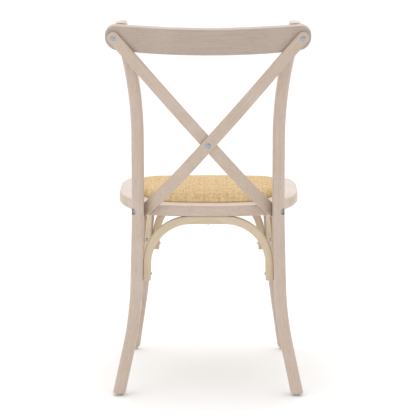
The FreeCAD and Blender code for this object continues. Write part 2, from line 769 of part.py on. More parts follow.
def make_crest_rail():
    """Steam bent crest rail with round ends."""
    body = new_body("crest_rail")
    middle = crest_frame()[0]
    lean = Placement(middle, Rotation(EAST, -size("crest_tilt")))
    bow = size("crest_bow")
    half = size("crest_thickness") / 2.0
    reach = size("crest_length") / 2.0 + size("crest_thickness") / 2.0
    swing = math.degrees(math.asin(reach / (bow - half)))
    ends = (-swing, 0.0, swing)
    outer = [flat((bow + half) * sine(a), (bow + half) * cosine(a) - bow) for a in ends]
    inner = [flat((bow - half) * sine(a), (bow - half) * cosine(a) - bow) for a in ends]
    edges = [
        Part.Arc(outer[0], outer[1], outer[2]),
        Part.LineSegment(outer[2], inner[2]),
        Part.Arc(inner[2], inner[1], inner[0]),
        Part.LineSegment(inner[0], outer[0]),
    ]
    bend = new_sketch(body, "BentSection", "XY_Plane", edges, lean)
    pad(body, "BentBoard", bend, "crest_height + crest_end_radius", midplane=True)
    upright = lean.multiply(Placement(Vector(), Rotation(EAST, HALF_TURN / 2.0)))
    edges = crest_waste_frame() + crest_outline()
    outline = new_sketch(body, "Outline", "XY_Plane", edges, upright)
    through = body.newObject("PartDesign::Pocket", "TrimOutline")
    through.Profile = outline
    through.Type = "ThroughAll"
    through.Midplane = True
    body.Tip = through
    doc.recompute()
    faces = size("crest_length") / 2.0 + 1.0
    round_off(body, "SoftEdges", lambda edge: is_rail_edge(edge, faces), "crest_rounding")
    for name, side in SIDES:
        for start, heading in dowel_lines(side):
            drill(body, "DowelHole", start, heading, "dowel_diameter / 2 + hole_clearance / 2",
                  "dowel_length + hole_clearance")
        heading, point = crest_screw_line(side)
        drill(body, "StrapScrewHole", point, heading, "crest_screw / 2 + hole_clearance / 2",
              "crest_screw_length + hole_clearance")
    return body


def crest_screw_line(side):
    """Heading and head point of the screw that holds a strap to the rail."""
    out = size("crest_thickness") / 2.0 + size("strap_thickness") + size("joint_clearance") * 1.5
    point, normal = crest_point(side * size("strap_top_x"), size("strap_top_rise"), out)
    return normal * -1.0, point


def crest_outline():
    """Face of the crest rail: a board whose ends are round."""
    half = size("crest_height") / 2.0
    reach = size("crest_length") / 2.0
    end = size("crest_end_radius")
    drop = half - end
    centre = reach - end
    corners = [
        flat(-reach, -end), flat(-reach, end), flat(-centre + WIDE, half),
        flat(centre - WIDE, half), flat(reach, end), flat(reach, -end),
        flat(centre - WIDE, -half), flat(-centre + WIDE, -half),
    ]
    tight = end - size("crest_end_gap") - drop / 2.0
    wide = size("crest_edge_bend")
    return rounded_loop(corners, [tight, tight, wide, wide, tight, tight, wide, wide])


def crest_waste_frame():
    """Rectangle outside the crest rail's face."""
    x = size("crest_length")
    y = size("crest_height") * 2.0
    corners = [flat(-x, -y), flat(-x, y), flat(x, y), flat(x, -y)]
    loop = corners + corners[:1]
    return [Part.LineSegment(one, two) for one, two in zip(loop[:-1], loop[1:])]


def is_rail_edge(edge, faces):
    """Tell the long edges of the rail's face from the seams across it."""
    middle, _, backward = crest_frame()
    point = edge.CenterOfMass - middle
    start = edge.Vertexes[0].Point - middle
    finish = edge.Vertexes[-1].Point - middle
    bow = size("crest_bow")
    layers = []
    for place in (start, finish):
        forward = place.dot(backward) + bow
        layers.append(math.hypot(place.x, forward) - bow)
    return abs(layers[0] - layers[1]) < 0.5 and abs(point.x) < faces


def make_strap(name, side, layer):
    """Flat strap from a seat corner up across the back, lofted with its twist."""
    body = new_body("cross_strap_" + name)
    stations = strap_stations(side, layer)
    width = size("strap_width")
    thick = size("strap_thickness")
    sections = []
    for number, (point, heading, normal) in enumerate(stations):
        place = facing(point, normal.cross(heading), normal)
        x = width / 2.0
        y = thick / 2.0
        corners = [flat(-x, -y), flat(-x, y), flat(x, y), flat(x, -y)]
        loop = corners + corners[:1]
        edges = [Part.LineSegment(one, two) for one, two in zip(loop[:-1], loop[1:])]
        label = "Station%d" % (number + 1)
        sections.append(new_sketch(body, label, "XY_Plane", edges, place))
    doc.recompute()
    loft = body.newObject("PartDesign::AdditiveLoft", "TwistedStrap")
    loft.Profile = sections[0]
    loft.Sections = sections[1:]
    loft.Ruled = False
    body.Tip = loft
    doc.recompute()
    round_off(body, "SoftEdges", lambda edge: edge.Length > 5.0 * width, "strap_rounding")
    for label, station in (("Lower", stations[1]), ("Upper", stations[-2])):
        round_strap_end(body, label, station)
    start = corner_point(side, 0.0)
    drill(body, "BoltHole", start, corner_heading(side), "bolt_shank / 2 + hole_clearance",
          "rear_leg_depth")
    heading, point = crest_screw_line(-side)
    drill(body, "CrestScrewHole", point - heading, heading, "crest_screw / 2 + hole_clearance / 2",
          "crest_screw_length")
    middle = Vector(0.0, size("cross_y"), size("cross_z"))
    lean = cross_normal()
    drill(body, "CrossHole", middle - lean * OVERRUN, lean,
          "rivet_shank / 2 + hole_clearance / 2", "crest_thickness * 2.5")
    return body


def round_strap_end(body, label, station):
    """Round one end of the strap about its fastening."""
    point, heading, normal = station
    outward = heading if label == "Upper" else heading * -1.0
    radius = size("strap_width") / 2.0
    far = radius * 2.5
    side = radius * 1.4
    edges = [
        Part.Arc(flat(-radius, 0.0), flat(0.0, radius), flat(radius, 0.0)),
        Part.LineSegment(flat(radius, 0.0), flat(side, 0.0)),
        Part.LineSegment(flat(side, 0.0), flat(side, far)),
        Part.LineSegment(flat(side, far), flat(-side, far)),
        Part.LineSegment(flat(-side, far), flat(-side, 0.0)),
        Part.LineSegment(flat(-side, 0.0), flat(-radius, 0.0)),
    ]
    place = facing(point, normal.cross(outward), outward)
    waste = new_sketch(body, label + "EndWaste", "XY_Plane", edges, place)
    cut = body.newObject("PartDesign::Pocket", label + "RoundEnd")
    cut.Profile = waste
    cut.Length = OVERRUN * 2.0
    cut.Midplane = True
    body.Tip = cut
    doc.recompute()
    return cut


def cross_normal():
    """Backward normal shared by both straps where they cross."""
    return unit(Vector(0.0, size("strap_up"), -size("cross_lean")))


def strap_stations(side, layer):
    """Points, headings and normals along a strap from seat corner to crest."""
    tail = size("strap_width") / 2.0 + size("strap_end_spare")
    run = -side * size("strap_out")
    low = corner_point(side, strap_middle())
    low_normal = corner_heading(side) * -1.0
    low_heading = unit(Vector(-side, 1.0, 1.0))
    lift = size("strap_thickness") / 2.0 + size("joint_clearance") / 2.0
    middle = Vector(0.0, size("cross_y"), size("cross_z")) + cross_normal() * (layer * lift)
    middle_heading = unit(Vector(run, size("cross_lean"), size("strap_up")))
    out = (size("crest_thickness") + size("strap_thickness")) / 2.0 + size("joint_clearance")
    high, high_normal = crest_point(-side * size("strap_top_x"), size("strap_top_rise"), out)
    aim = Vector(run, 0.0, size("strap_up"))
    high_heading = unit(aim - high_normal * aim.dot(high_normal))
    stations = [(low - low_heading * tail, low_heading, low_normal)]
    stations.append((low, low_heading, low_normal))
    stations.append((low + low_heading * tail, low_heading, low_normal))
    first = (stations[-1][0], low_heading, low_normal)
    level = cross_normal()
    overlap = size("strap_width") * size("cross_flat")
    second = (middle - middle_heading * overlap, middle_heading, level)
    stations.extend(between(first, second, (0.33, 0.66)))
    stations.append(second)
    stations.append((middle, middle_heading, level))
    third = (middle + middle_heading * overlap, middle_heading, level)
    stations.append(third)
    entry = on_crest(high - high_heading * tail, out)
    fourth = (entry[0], unit(high_heading), entry[1])
    stations.extend(between(third, fourth, (0.33, 0.66)))
    for point in (high - high_heading * tail, high, high + high_heading * tail):
        place, normal = on_crest(point, out)
        heading = unit(aim - normal * aim.dot(normal))
        stations.append((place, heading, normal))
    return stations


def on_crest(point, out):
    """Nearest point and normal beside the bent rail at the same height."""
    middle, upward, _ = crest_frame()
    rise = (point - middle).dot(upward)
    bow = size("crest_bow")
    return crest_point(point.x * bow / (bow + out), rise, out)


def between(first, second, shares):
    """Smooth points between two stations, with the twist shared out."""
    start, start_heading, start_normal = first
    finish, finish_heading, finish_normal = second
    span = start.distanceToPoint(finish)
    found = []
    for share in shares:
        one = 2.0 * share ** 3 - 3.0 * share ** 2 + 1.0
        two = share ** 3 - 2.0 * share ** 2 + share
        three = 3.0 * share ** 2 - 2.0 * share ** 3
        four = share ** 3 - share ** 2
        point = start * one + start_heading * (two * span)
        point = point + finish * three + finish_heading * (four * span)
        one = 6.0 * share ** 2 - 6.0 * share
        two = 3.0 * share ** 2 - 4.0 * share + 1.0
        four = 3.0 * share ** 2 - 2.0 * share
        heading = (start - finish) * one + start_heading * (two * span)
        heading = unit(heading + finish_heading * (four * span))
        normal = start_normal * (1.0 - three) + finish_normal * three
        normal = unit(normal - heading * normal.dot(heading))
        found.append((point, heading, normal))
    return found


# Seat


def make_seat_ring():
    """Seat ring with a step for the board and joints for legs and arches."""
    body = new_body("seat_ring")
    base = Placement(Vector(0.0, 0.0, ring_bottom()), Rotation())
    outer = ring_outline()
    inner = ring_outline(size("ring_band"))
    outline = new_sketch(body, "Outline", "XY_Plane", outer + inner, base)
    pad(body, "Ring", outline, "ring_thickness")
    soft = size("ring_band") / 2.0
    round_off(body, "SoftEdges", lambda edge: is_outer_edge(edge, soft), "ring_rounding")
    top = Placement(Vector(0.0, 0.0, size("seat_top")), Rotation())
    step = new_sketch(body, "BoardStep", "XY_Plane", ring_outline(size("ring_border")), top)
    pocket(body, "Rebate", step, size("rebate_depth"))
    for name, side in SIDES:
        inward = corner_heading(side)
        seat = corner_point(side, ring_seat())
        carve(body, "StrapFlat", across(seat, inward * -1.0), WIDE, WIDE, OVERRUN)
        drill(body, "BoltHole", seat - inward * OVERRUN, inward,
              "bolt_shank / 2 + hole_clearance", "bolt_length")
        barrel = barrel_point(side)
        drill(body, "BarrelHole", barrel - UP * OVERRUN, UP,
              "barrel_diameter / 2 + hole_clearance / 2", str(OVERRUN) + " + barrel_length")
        socket = Vector(side * size("front_leg_x"), -size("front_leg_y"), ring_bottom())
        drill(body, "TenonHole", socket, UP, "tenon_diameter / 2 + joint_clearance",
              "tenon_length + joint_clearance")
    for point in arch_seat_points():
        drill(body, "ArchScrewHole", point, UP, "screw_diameter / 2 + hole_clearance / 2",
              "seat_screw_length + hole_clearance")
    for point in board_screw_points():
        drill(body, "BoardScrewHole", point, UP, "screw_diameter / 2 + hole_clearance / 2",
              "board_screw_length + hole_clearance")
        drill(body, "ScrewSink", point - UP * size("board_screw_sink"), UP,
              "screw_head / 2 + hole_clearance", "board_screw_sink")
    doc.recompute()
    return body


def is_outer_edge(edge, soft):
    """Tell the outer edges of the ring from those of its opening."""
    level = edge.BoundBox.ZLength < TOUCH * 1000.0
    point = edge.CenterOfMass
    if not level:
        return False
    middle = edge.valueAt((edge.FirstParameter + edge.LastParameter) / 2.0)
    x = abs(middle.x) / (size("ring_half_width") - soft)
    ahead = size("ring_rear") if middle.y > 0.0 else size("ring_front")
    y = abs(middle.y) / (ahead - soft)
    diagonal = math.hypot(middle.x, middle.y) > size("ring_half_width") - soft / 4.0
    return x > 1.0 or y > 1.0 or (diagonal and point.z > 0.0)


def barrel_point(side):
    """Underside of the ring below the barrel nut."""
    along = size("bolt_length") - size("bolt_seat") - size("barrel_diameter") * 0.7
    place = corner_point(side, along)
    low = size("corner_bolt_z") - size("barrel_length") / 2.0
    return Vector(place.x, place.y, low)


def board_screw_points():
    """Underside of the heads of the screws that hold the board."""
    corners = inset(opening_corners(), size("board_screw_inset"))
    level = ring_bottom() + size("board_screw_sink")
    chosen = [corners[1], corners[3], corners[4], corners[6]]
    return [Vector(point.x, point.y, level) for point in chosen]


def make_seat_board():
    """Plywood board that lies in the ring's step under the rattan."""
    body = new_body("seat_board")
    low = size("seat_top") - size("rebate_depth")
    base = Placement(Vector(0.0, 0.0, low), Rotation())
    edge = ring_outline(size("ring_border") + size("board_clearance"))
    outline = new_sketch(body, "Outline", "XY_Plane", edge, base)
    pad(body, "Board", outline, "rebate_depth")
    for point in board_screw_points():
        drill(body, "ScrewHole", point, UP, "screw_diameter / 2 + hole_clearance / 2",
              "board_screw_length + hole_clearance")
    return body


def make_rattan_seat():
    """Woven rattan with a rolled border and a low crown."""
    body = new_body("rattan_seat")
    base = Placement(Vector(0.0, 0.0, size("seat_top")), Rotation())
    edge = ring_outline(size("ring_border") + size("board_clearance"))
    outline = new_sketch(body, "Outline", "XY_Plane", edge, base)
    pad(body, "Weave", outline, "rattan_rim + rattan_crown")
    reach = size("ring_half_width")
    high = size("seat_top") + size("rattan_rim") + size("rattan_crown")
    low = high - size("rattan_crown")
    sag = size("rattan_crown")
    half = (reach / 2.0) ** 2 / (reach ** 2) * sag
    above = high + OVERRUN
    edges = [
        Part.Arc(flat(0.0, high), flat(reach / 2.0, high - half), flat(reach, low)),
        Part.LineSegment(flat(reach, low), flat(reach + WIDE, low)),
        Part.LineSegment(flat(reach + WIDE, low), flat(reach + WIDE, above)),
        Part.LineSegment(flat(reach + WIDE, above), flat(0.0, above)),
        Part.LineSegment(flat(0.0, above), flat(0.0, high)),
    ]
    crown = new_sketch(body, "Crown", "XZ_Plane", edges)
    before = body.Shape.Volume
    shaped = body.newObject("PartDesign::Groove", "CrownCut")
    shaped.Profile = crown
    shaped.ReferenceAxis = (crown, ["V_Axis"])
    shaped.Angle = 360.0
    body.Tip = shaped
    doc.recompute()
    if body.Shape.Volume >= before:
        raise RuntimeError("the crown of the rattan cuts nothing")
    floor = size("seat_top") + TOUCH * 1000.0
    round_off(body, "RolledBorder",
              lambda edge: edge.BoundBox.ZMin > floor and edge.BoundBox.ZLength < OVERRUN / 3.0,
              "rattan_rounding")
    return body


# Arches under the seat


def rear_arch_plane():
    """Foot points of the rear arch's limbs and its upward direction."""
    foot = size("arch_foot_z")
    inner = rear_leg_x_at(foot) - size("rear_leg_width") / 2.0 - size("arch_gap")
    x = inner - size("arch_size") / 2.0
    y = size("rear_arch_y")
    lean = (rear_leg_x_at(foot) - rear_leg_x_at(foot + OVERRUN)) / OVERRUN
    return Vector(-x, y, foot), Vector(x, y, foot), UP, lean, lean


def front_arch_plane():
    """Foot points of the front arch's limbs and its upward direction."""
    foot = size("arch_foot_z")
    inner = front_leg_x_at(foot) - front_leg_radius_at(foot) - size("joint_clearance")
    x = inner - size("arch_size") / 2.0
    y = -size("front_leg_y") - size("front_arch_drop")
    lean = (front_leg_x_at(foot) - front_leg_x_at(foot + OVERRUN)) / OVERRUN
    return Vector(-x, y, foot), Vector(x, y, foot), UP, lean, lean


def side_arch_plane(side):
    """Foot points of a side arch's limbs and its upward direction."""
    foot = size("arch_foot_z")
    rise = foot + OVERRUN
    half = size("arch_size") / 2.0
    ahead = front_leg_point(front_leg_x_at(foot), foot, side)
    ahead_up = front_leg_point(front_leg_x_at(rise), rise, side)
    front = ahead + NORTH * (front_leg_radius_at(foot) + size("joint_clearance") + half)
    behind = rear_leg_point(rear_leg_x_at(foot), foot, side)
    behind_up = rear_leg_point(rear_leg_x_at(rise), rise, side)
    rear = behind - NORTH * (size("rear_leg_depth") / 2.0 + size("arch_gap") + half)
    rear.x = rear.x - side * size("arch_corner")
    inward = (ahead_up.x - ahead.x) / OVERRUN
    upward = Vector(inward, 0.0, 1.0)
    front_lean = (ahead_up.y - ahead.y) / OVERRUN
    rear_lean = (behind.y - behind_up.y) / OVERRUN
    return front, rear, upward, front_lean, rear_lean


def make_arch(name, plane, bend, foot_screws, seat_point):
    """Bentwood arch between two legs, swept along its bend."""
    body = new_body(name)
    first, last, upward, first_lean, last_lean = plane
    along = unit(last - first)
    upright = unit(upward - along * upward.dot(along))
    normal = along.cross(upright)
    place = facing(first, along, upright)
    half = size("arch_size") / 2.0
    spare = 1.0 - upright.z * upright.z
    top = (ring_bottom() - first.z - half * upright.z + half * math.sqrt(spare)) / upright.z
    span = last.distanceToPoint(first)
    corners = [
        flat(0.0, 0.0),
        flat(first_lean * top, top),
        flat(span - last_lean * top, top),
        flat(span, 0.0),
    ]
    line = rounded_path(corners, [bend, bend])
    path = new_sketch(body, "BentLine", "XY_Plane", line, place)
    start_aim = unit(along * first_lean + upright)
    square = rounded_block(size("arch_size"), size("arch_size"), size("arch_corner"))
    place = facing(first, normal, start_aim.cross(normal))
    section = new_sketch(body, "ArchSection", "XY_Plane", square, place)
    pipe(body, "BentArch", [section], path)
    if spare > TOUCH:
        middle = (first + last) * 0.5
        above = Placement(Vector(middle.x, middle.y, ring_bottom()), Rotation())
        carve(body, "SeatFlat", above, WIDE, span, WIDE)
    for heading, point in foot_screws:
        drill(body, "LegScrewHole", point, heading, "screw_diameter / 2 + hole_clearance / 2",
              "leg_screw_length + hole_clearance")
    drill(body, "SeatScrewHole", seat_point, UP, "screw_diameter / 2 + hole_clearance / 2",
          "seat_screw_length + hole_clearance")
    doc.recompute()
    return body


def limb_screw(plane, end, rise, side):
    """Heading and head point of the screw through one limb of an arch."""
    first, last, upward, first_lean, last_lean = plane
    along = unit(last - first)
    upright = unit(upward - along * upward.dot(along))
    foot = first if end == 0 else last
    slant = along * first_lean if end == 0 else along * -last_lean
    limb = unit(upright + slant)
    outward = along * -1.0 if end == 0 else along
    outward = unit(outward - limb * outward.dot(limb))
    point = foot + limb * rise - outward * (size("arch_size") / 2.0)
    if side < 0.0 and foot.x > 0.0:
        point = Vector(-point.x, point.y, point.z)
        outward = Vector(-outward.x, outward.y, outward.z)
    return outward, point


def leg_screw_lines(side):
    """Heading and head point of a side's four arch screws, rear pair first."""
    low = size("low_screw_rise")
    high = size("high_screw_rise")
    beside = side_arch_plane(side)
    return [
        limb_screw(rear_arch_plane(), 1, low, side),
        limb_screw(beside, 1, high, side),
        limb_screw(front_arch_plane(), 1, low, side),
        limb_screw(beside, 0, high, side),
    ]


def arch_seat_points():
    """Heads of the four screws that hold the arches up to the ring."""
    level = ring_bottom() - size("arch_size")
    rear = Vector(0.0, size("rear_arch_y"), level)
    front = Vector(0.0, -size("front_leg_y") - size("front_arch_drop"), level)
    points = [rear, front]
    for name, side in SIDES:
        plane = side_arch_plane(side)
        middle = (plane[0] + plane[1]) * 0.5
        rise = level - middle.z
        x = middle.x + plane[2].x * (rise + size("arch_size") / 2.0)
        points.append(Vector(x + side * size("arch_corner"), middle.y, level))
    return points


def make_arches():
    """The rear, front and two side arches."""
    seats = arch_seat_points()
    left = leg_screw_lines(1.0)
    right = leg_screw_lines(-1.0)
    make_arch("rear_arch", rear_arch_plane(), size("rear_arch_bend"), [left[0], right[0]], seats[0])
    make_arch("front_arch", front_arch_plane(), size("front_arch_bend"), [left[2], right[2]],
              seats[1])
    for number, (name, side) in enumerate(SIDES):
        lines = leg_screw_lines(side)
        make_arch("side_arch_" + name, side_arch_plane(side), size("side_arch_bend"),
                  [lines[1], lines[3]], seats[2 + number])


# Hardware


def make_screws(name, lines, length):
    """Group of equal domed wood screws."""
    items = []
    for number, (heading, point) in enumerate(lines, start=1):
        label = "%s_%d" % (name, number)
        items.append(pin_with_head(label, point, heading, "screw_head", "screw_head_height",
                                   "screw_diameter / 2", length))
    group(name, items)


def make_cross_rivet():
    """Rivet through both straps where they cross."""
    lift = size("strap_thickness") + size("joint_clearance")
    middle = Vector(0.0, size("cross_y"), size("cross_z"))
    behind = middle + cross_normal() * lift
    item = rivet("CrossRivet", behind, cross_normal() * -1.0, "cross_rivet_head",
                 "strap_thickness * 2 + joint_clearance * 2")
    item.Label = "cross_rivet"
    parts.append(item)


def make_crest_screws():
    """Domed screws from the straps into the ends of the crest rail."""
    items = []
    for name, side in SIDES:
        heading, point = crest_screw_line(side)
        items.append(pin_with_head("CrestScrew_" + name, point, heading, "crest_screw_head",
                                   "rivet_head_height", "crest_screw / 2", "crest_screw_length"))
    group("crest_strap_screws", items)


def rivet(name, start, heading, head, grip):
    """Rivet with a domed head and a flatter set end."""
    pinned = pin_with_head(name + "_pin", start, heading, head, "rivet_head_height",
                           "rivet_shank / 2", grip)
    doc.recompute()
    length = float(doc.getObject(name + "_pin_shank").Height)
    end = dome(name + "_end", across(start + heading * length, heading), head, "rivet_head_height")
    whole = doc.addObject("Part::Fuse", name)
    whole.Base = pinned
    whole.Tool = end
    return whole


def make_corner_bolts():
    """Bolts through leg, strap and ring, with their barrel nuts."""
    bolts = []
    nuts = []
    for name, side in SIDES:
        start = corner_point(side, -size("bolt_seat"))
        bolts.append(pin_with_head("CornerBolt_" + name, start, corner_heading(side), "bolt_head",
                                   "bolt_head_height", "bolt_shank / 2", "bolt_length"))
        low = barrel_point(side)
        blank = rod("BarrelBlank_" + name, Placement(low, Rotation()), "barrel_diameter / 2",
                    "barrel_length")
        bore = rod("BarrelBore_" + name, across(start, corner_heading(side)),
                   "bolt_shank / 2 + hole_clearance / 10", "bolt_length + barrel_diameter")
        nut = doc.addObject("Part::Cut", "BarrelNut_" + name)
        nut.Base = blank
        nut.Tool = bore
        nuts.append(nut)
    group("seat_corner_bolts", bolts)
    group("barrel_nuts", nuts)


def make_dowels():
    """Beech dowels between the rear legs and the crest rail."""
    items = []
    for name, side in SIDES:
        for start, heading in dowel_lines(side):
            place = across(start + heading * (size("hole_clearance") / 2.0), heading)
            items.append(rod("Dowel_" + name, place, "dowel_diameter / 2", "dowel_length"))
    group("crest_dowels", items)


def make_glides():
    """Nail on glides under the four feet."""
    discs = []
    pins = []
    for name, side in SIDES:
        for foot in (rear_foot(side), front_foot(side)):
            ground = Placement(Vector(foot.x, foot.y, 0.0), Rotation())
            blank = rod("GlideBlank", ground, "glide_diameter / 2", "glide_height")
            soft = doc.addObject("Part::Chamfer", "GlideChamfer")
            soft.Base = blank
            doc.recompute()
            lip = size("glide_height") / 5.0
            rings = enumerate(blank.Shape.Edges, start=1)
            soft.Edges = [(n, lip, lip) for n, edge in rings if edge.BoundBox.ZMax < TOUCH]
            bore = rod("GlideBore", ground.multiply(Placement(UP * size("glide_recess"), Rotation())),
                       "pin_diameter / 2 + hole_clearance / 10", "glide_height")
            disc = doc.addObject("Part::Cut", "Glide")
            disc.Base = soft
            disc.Tool = bore
            discs.append(disc)
            up = ground.multiply(Placement(UP * size("glide_recess"), Rotation()))
            pins.append(rod("GlidePin", up, "pin_diameter / 2", "pin_length"))
    group("foot_glides", discs)
    group("glide_pins", pins)


def make_hardware():
    """All screws, bolts, nuts, rivets, dowels and glides."""
    make_cross_rivet()
    make_crest_screws()
    make_corner_bolts()
    make_dowels()
    lines = leg_screw_lines(1.0) + leg_screw_lines(-1.0)
    make_screws("arch_leg_screws", lines, "leg_screw_length")
    lines = [(Vector(UP), point) for point in arch_seat_points()]
    make_screws("arch_seat_screws", lines, "seat_screw_length")
    lines = [(Vector(UP), point) for point in board_screw_points()]
    make_screws("seat_board_screws", lines, "board_screw_length")
    make_glides()


def write_parts():
    """Check every object, then write one file for each named piece."""
    for part in parts:
        bind(part, "Placement.Base.y", "0 - seat_centre_y")
    doc.recompute()
    for item in doc.Objects:
        bad = [word for word in item.State if word in ("Invalid", "Error")]
        if bad:
            raise RuntimeError(item.Label + " failed: " + ", ".join(bad))
    os.makedirs("parts", exist_ok=True)
    for part in parts:
        shape = part.Shape
        if shape.isNull() or not shape.isValid():
            raise RuntimeError(part.Label + " has no valid shape")
        shape.exportStep("parts/" + part.Label + ".step")
        box = shape.BoundBox
        print(part.Label, len(shape.Solids), round(shape.Volume, 1),
              [round(value, 1) for value in (box.XMin, box.YMin, box.ZMin)],
              [round(value, 1) for value in (box.XMax, box.YMax, box.ZMax)])


for leg_name, leg_side in SIDES:
    make_rear_leg(leg_name, leg_side)
    make_front_leg(leg_name, leg_side)
make_crest_rail()
make_strap("outer", 1.0, 1.0)
make_strap("inner", -1.0, -1.0)
make_seat_ring()
make_seat_board()
make_rattan_seat()
make_arches()
make_hardware()
write_parts()
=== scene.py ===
"""Looks of the cross back chair: its finishes, its woven rattan seat and the studio around it."""

import logging
import math
from dataclasses import dataclass, field, replace
from enum import Enum

import bpy
import numpy as np
from mathutils import Matrix, Vector


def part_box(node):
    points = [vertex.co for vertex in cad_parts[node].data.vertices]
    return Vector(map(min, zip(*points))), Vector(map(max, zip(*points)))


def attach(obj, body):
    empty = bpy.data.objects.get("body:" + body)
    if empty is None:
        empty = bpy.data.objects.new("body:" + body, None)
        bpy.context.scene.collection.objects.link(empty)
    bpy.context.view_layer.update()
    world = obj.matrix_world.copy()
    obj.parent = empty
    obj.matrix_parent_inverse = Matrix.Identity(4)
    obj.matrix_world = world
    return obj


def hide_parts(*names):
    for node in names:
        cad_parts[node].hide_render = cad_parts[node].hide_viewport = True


log = logging.getLogger("cross_back_chair")

Colour = tuple[float, float, float]
Point = tuple[float, float, float]

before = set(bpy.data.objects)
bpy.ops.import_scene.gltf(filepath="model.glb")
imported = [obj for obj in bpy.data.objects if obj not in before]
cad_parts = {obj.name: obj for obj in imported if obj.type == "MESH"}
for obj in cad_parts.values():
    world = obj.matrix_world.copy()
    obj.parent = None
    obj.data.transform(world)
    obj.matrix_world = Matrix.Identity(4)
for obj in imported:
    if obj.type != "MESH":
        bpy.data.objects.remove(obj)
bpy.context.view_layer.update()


def from_screen(red: int, green: int, blue: int) -> Colour:
    """Linear colour of an eight bit screen colour.

    Args:
        red: Red from 0 to 255.
        green: Green from 0 to 255.
        blue: Blue from 0 to 255.

    Returns:
        The colour as linear red, green and blue.
    """
    def linear(level: int) -> float:
        """Linear value of one channel."""
        share = level / 255.0
        return share / 12.92 if share <= 0.04045 else ((share + 0.055) / 1.055) ** 2.4

    return linear(red), linear(green), linear(blue)


# Shader graph helpers


class Signal:
    """One output socket of a node graph, which can be used in sums."""

    def __init__(self, graph: "Graph", socket: bpy.types.NodeSocket) -> None:
        """Keep the graph and the socket."""
        self.graph = graph
        self.socket = socket

    def maths(self, operation: str, other: "Signal | float | None" = None,
              swap: bool = False) -> "Signal":
        """Join this signal and another value in a Math node.

        Args:
            operation: Operation of the Math node.
            other: Second value, or None where the operation has one.
            swap: True where the other value comes first.

        Returns:
            The result.
        """
        values = [self] if other is None else ([other, self] if swap else [self, other])
        return self.graph.node("ShaderNodeMath", {"operation": operation},
                               dict(enumerate(values)))

    def __add__(self, other: "Signal | float") -> "Signal":
        """Sum of two values."""
        return self.maths("ADD", other)

    def __radd__(self, other: float) -> "Signal":
        """Sum with a number first."""
        return self.maths("ADD", other, swap=True)

    def __sub__(self, other: "Signal | float") -> "Signal":
        """Difference of two values."""
        return self.maths("SUBTRACT", other)

    def __rsub__(self, other: float) -> "Signal":
        """A number less this value."""
        return self.maths("SUBTRACT", other, swap=True)

    def __mul__(self, other: "Signal | float") -> "Signal":
        """Product of two values."""
        return self.maths("MULTIPLY", other)

    def __rmul__(self, other: float) -> "Signal":
        """Product with a number first."""
        return self.maths("MULTIPLY", other, swap=True)

    def __truediv__(self, other: "Signal | float") -> "Signal":
        """Quotient of two values."""
        return self.maths("DIVIDE", other)

    def __rtruediv__(self, other: float) -> "Signal":
        """A number divided by this value."""
        return self.maths("DIVIDE", other, swap=True)

    def sharpen(self, low: float, high: float) -> "Signal":
        """Stretch a band of values to the whole range from 0 to 1.

        Args:
            low: Value that becomes 0.
            high: Value that becomes 1.

        Returns:
            The stretched and clamped value.
        """
        return self.graph.node("ShaderNodeMapRange", {"interpolation_type": "SMOOTHSTEP"},
                               {"Value": self, "From Min": low, "From Max": high})


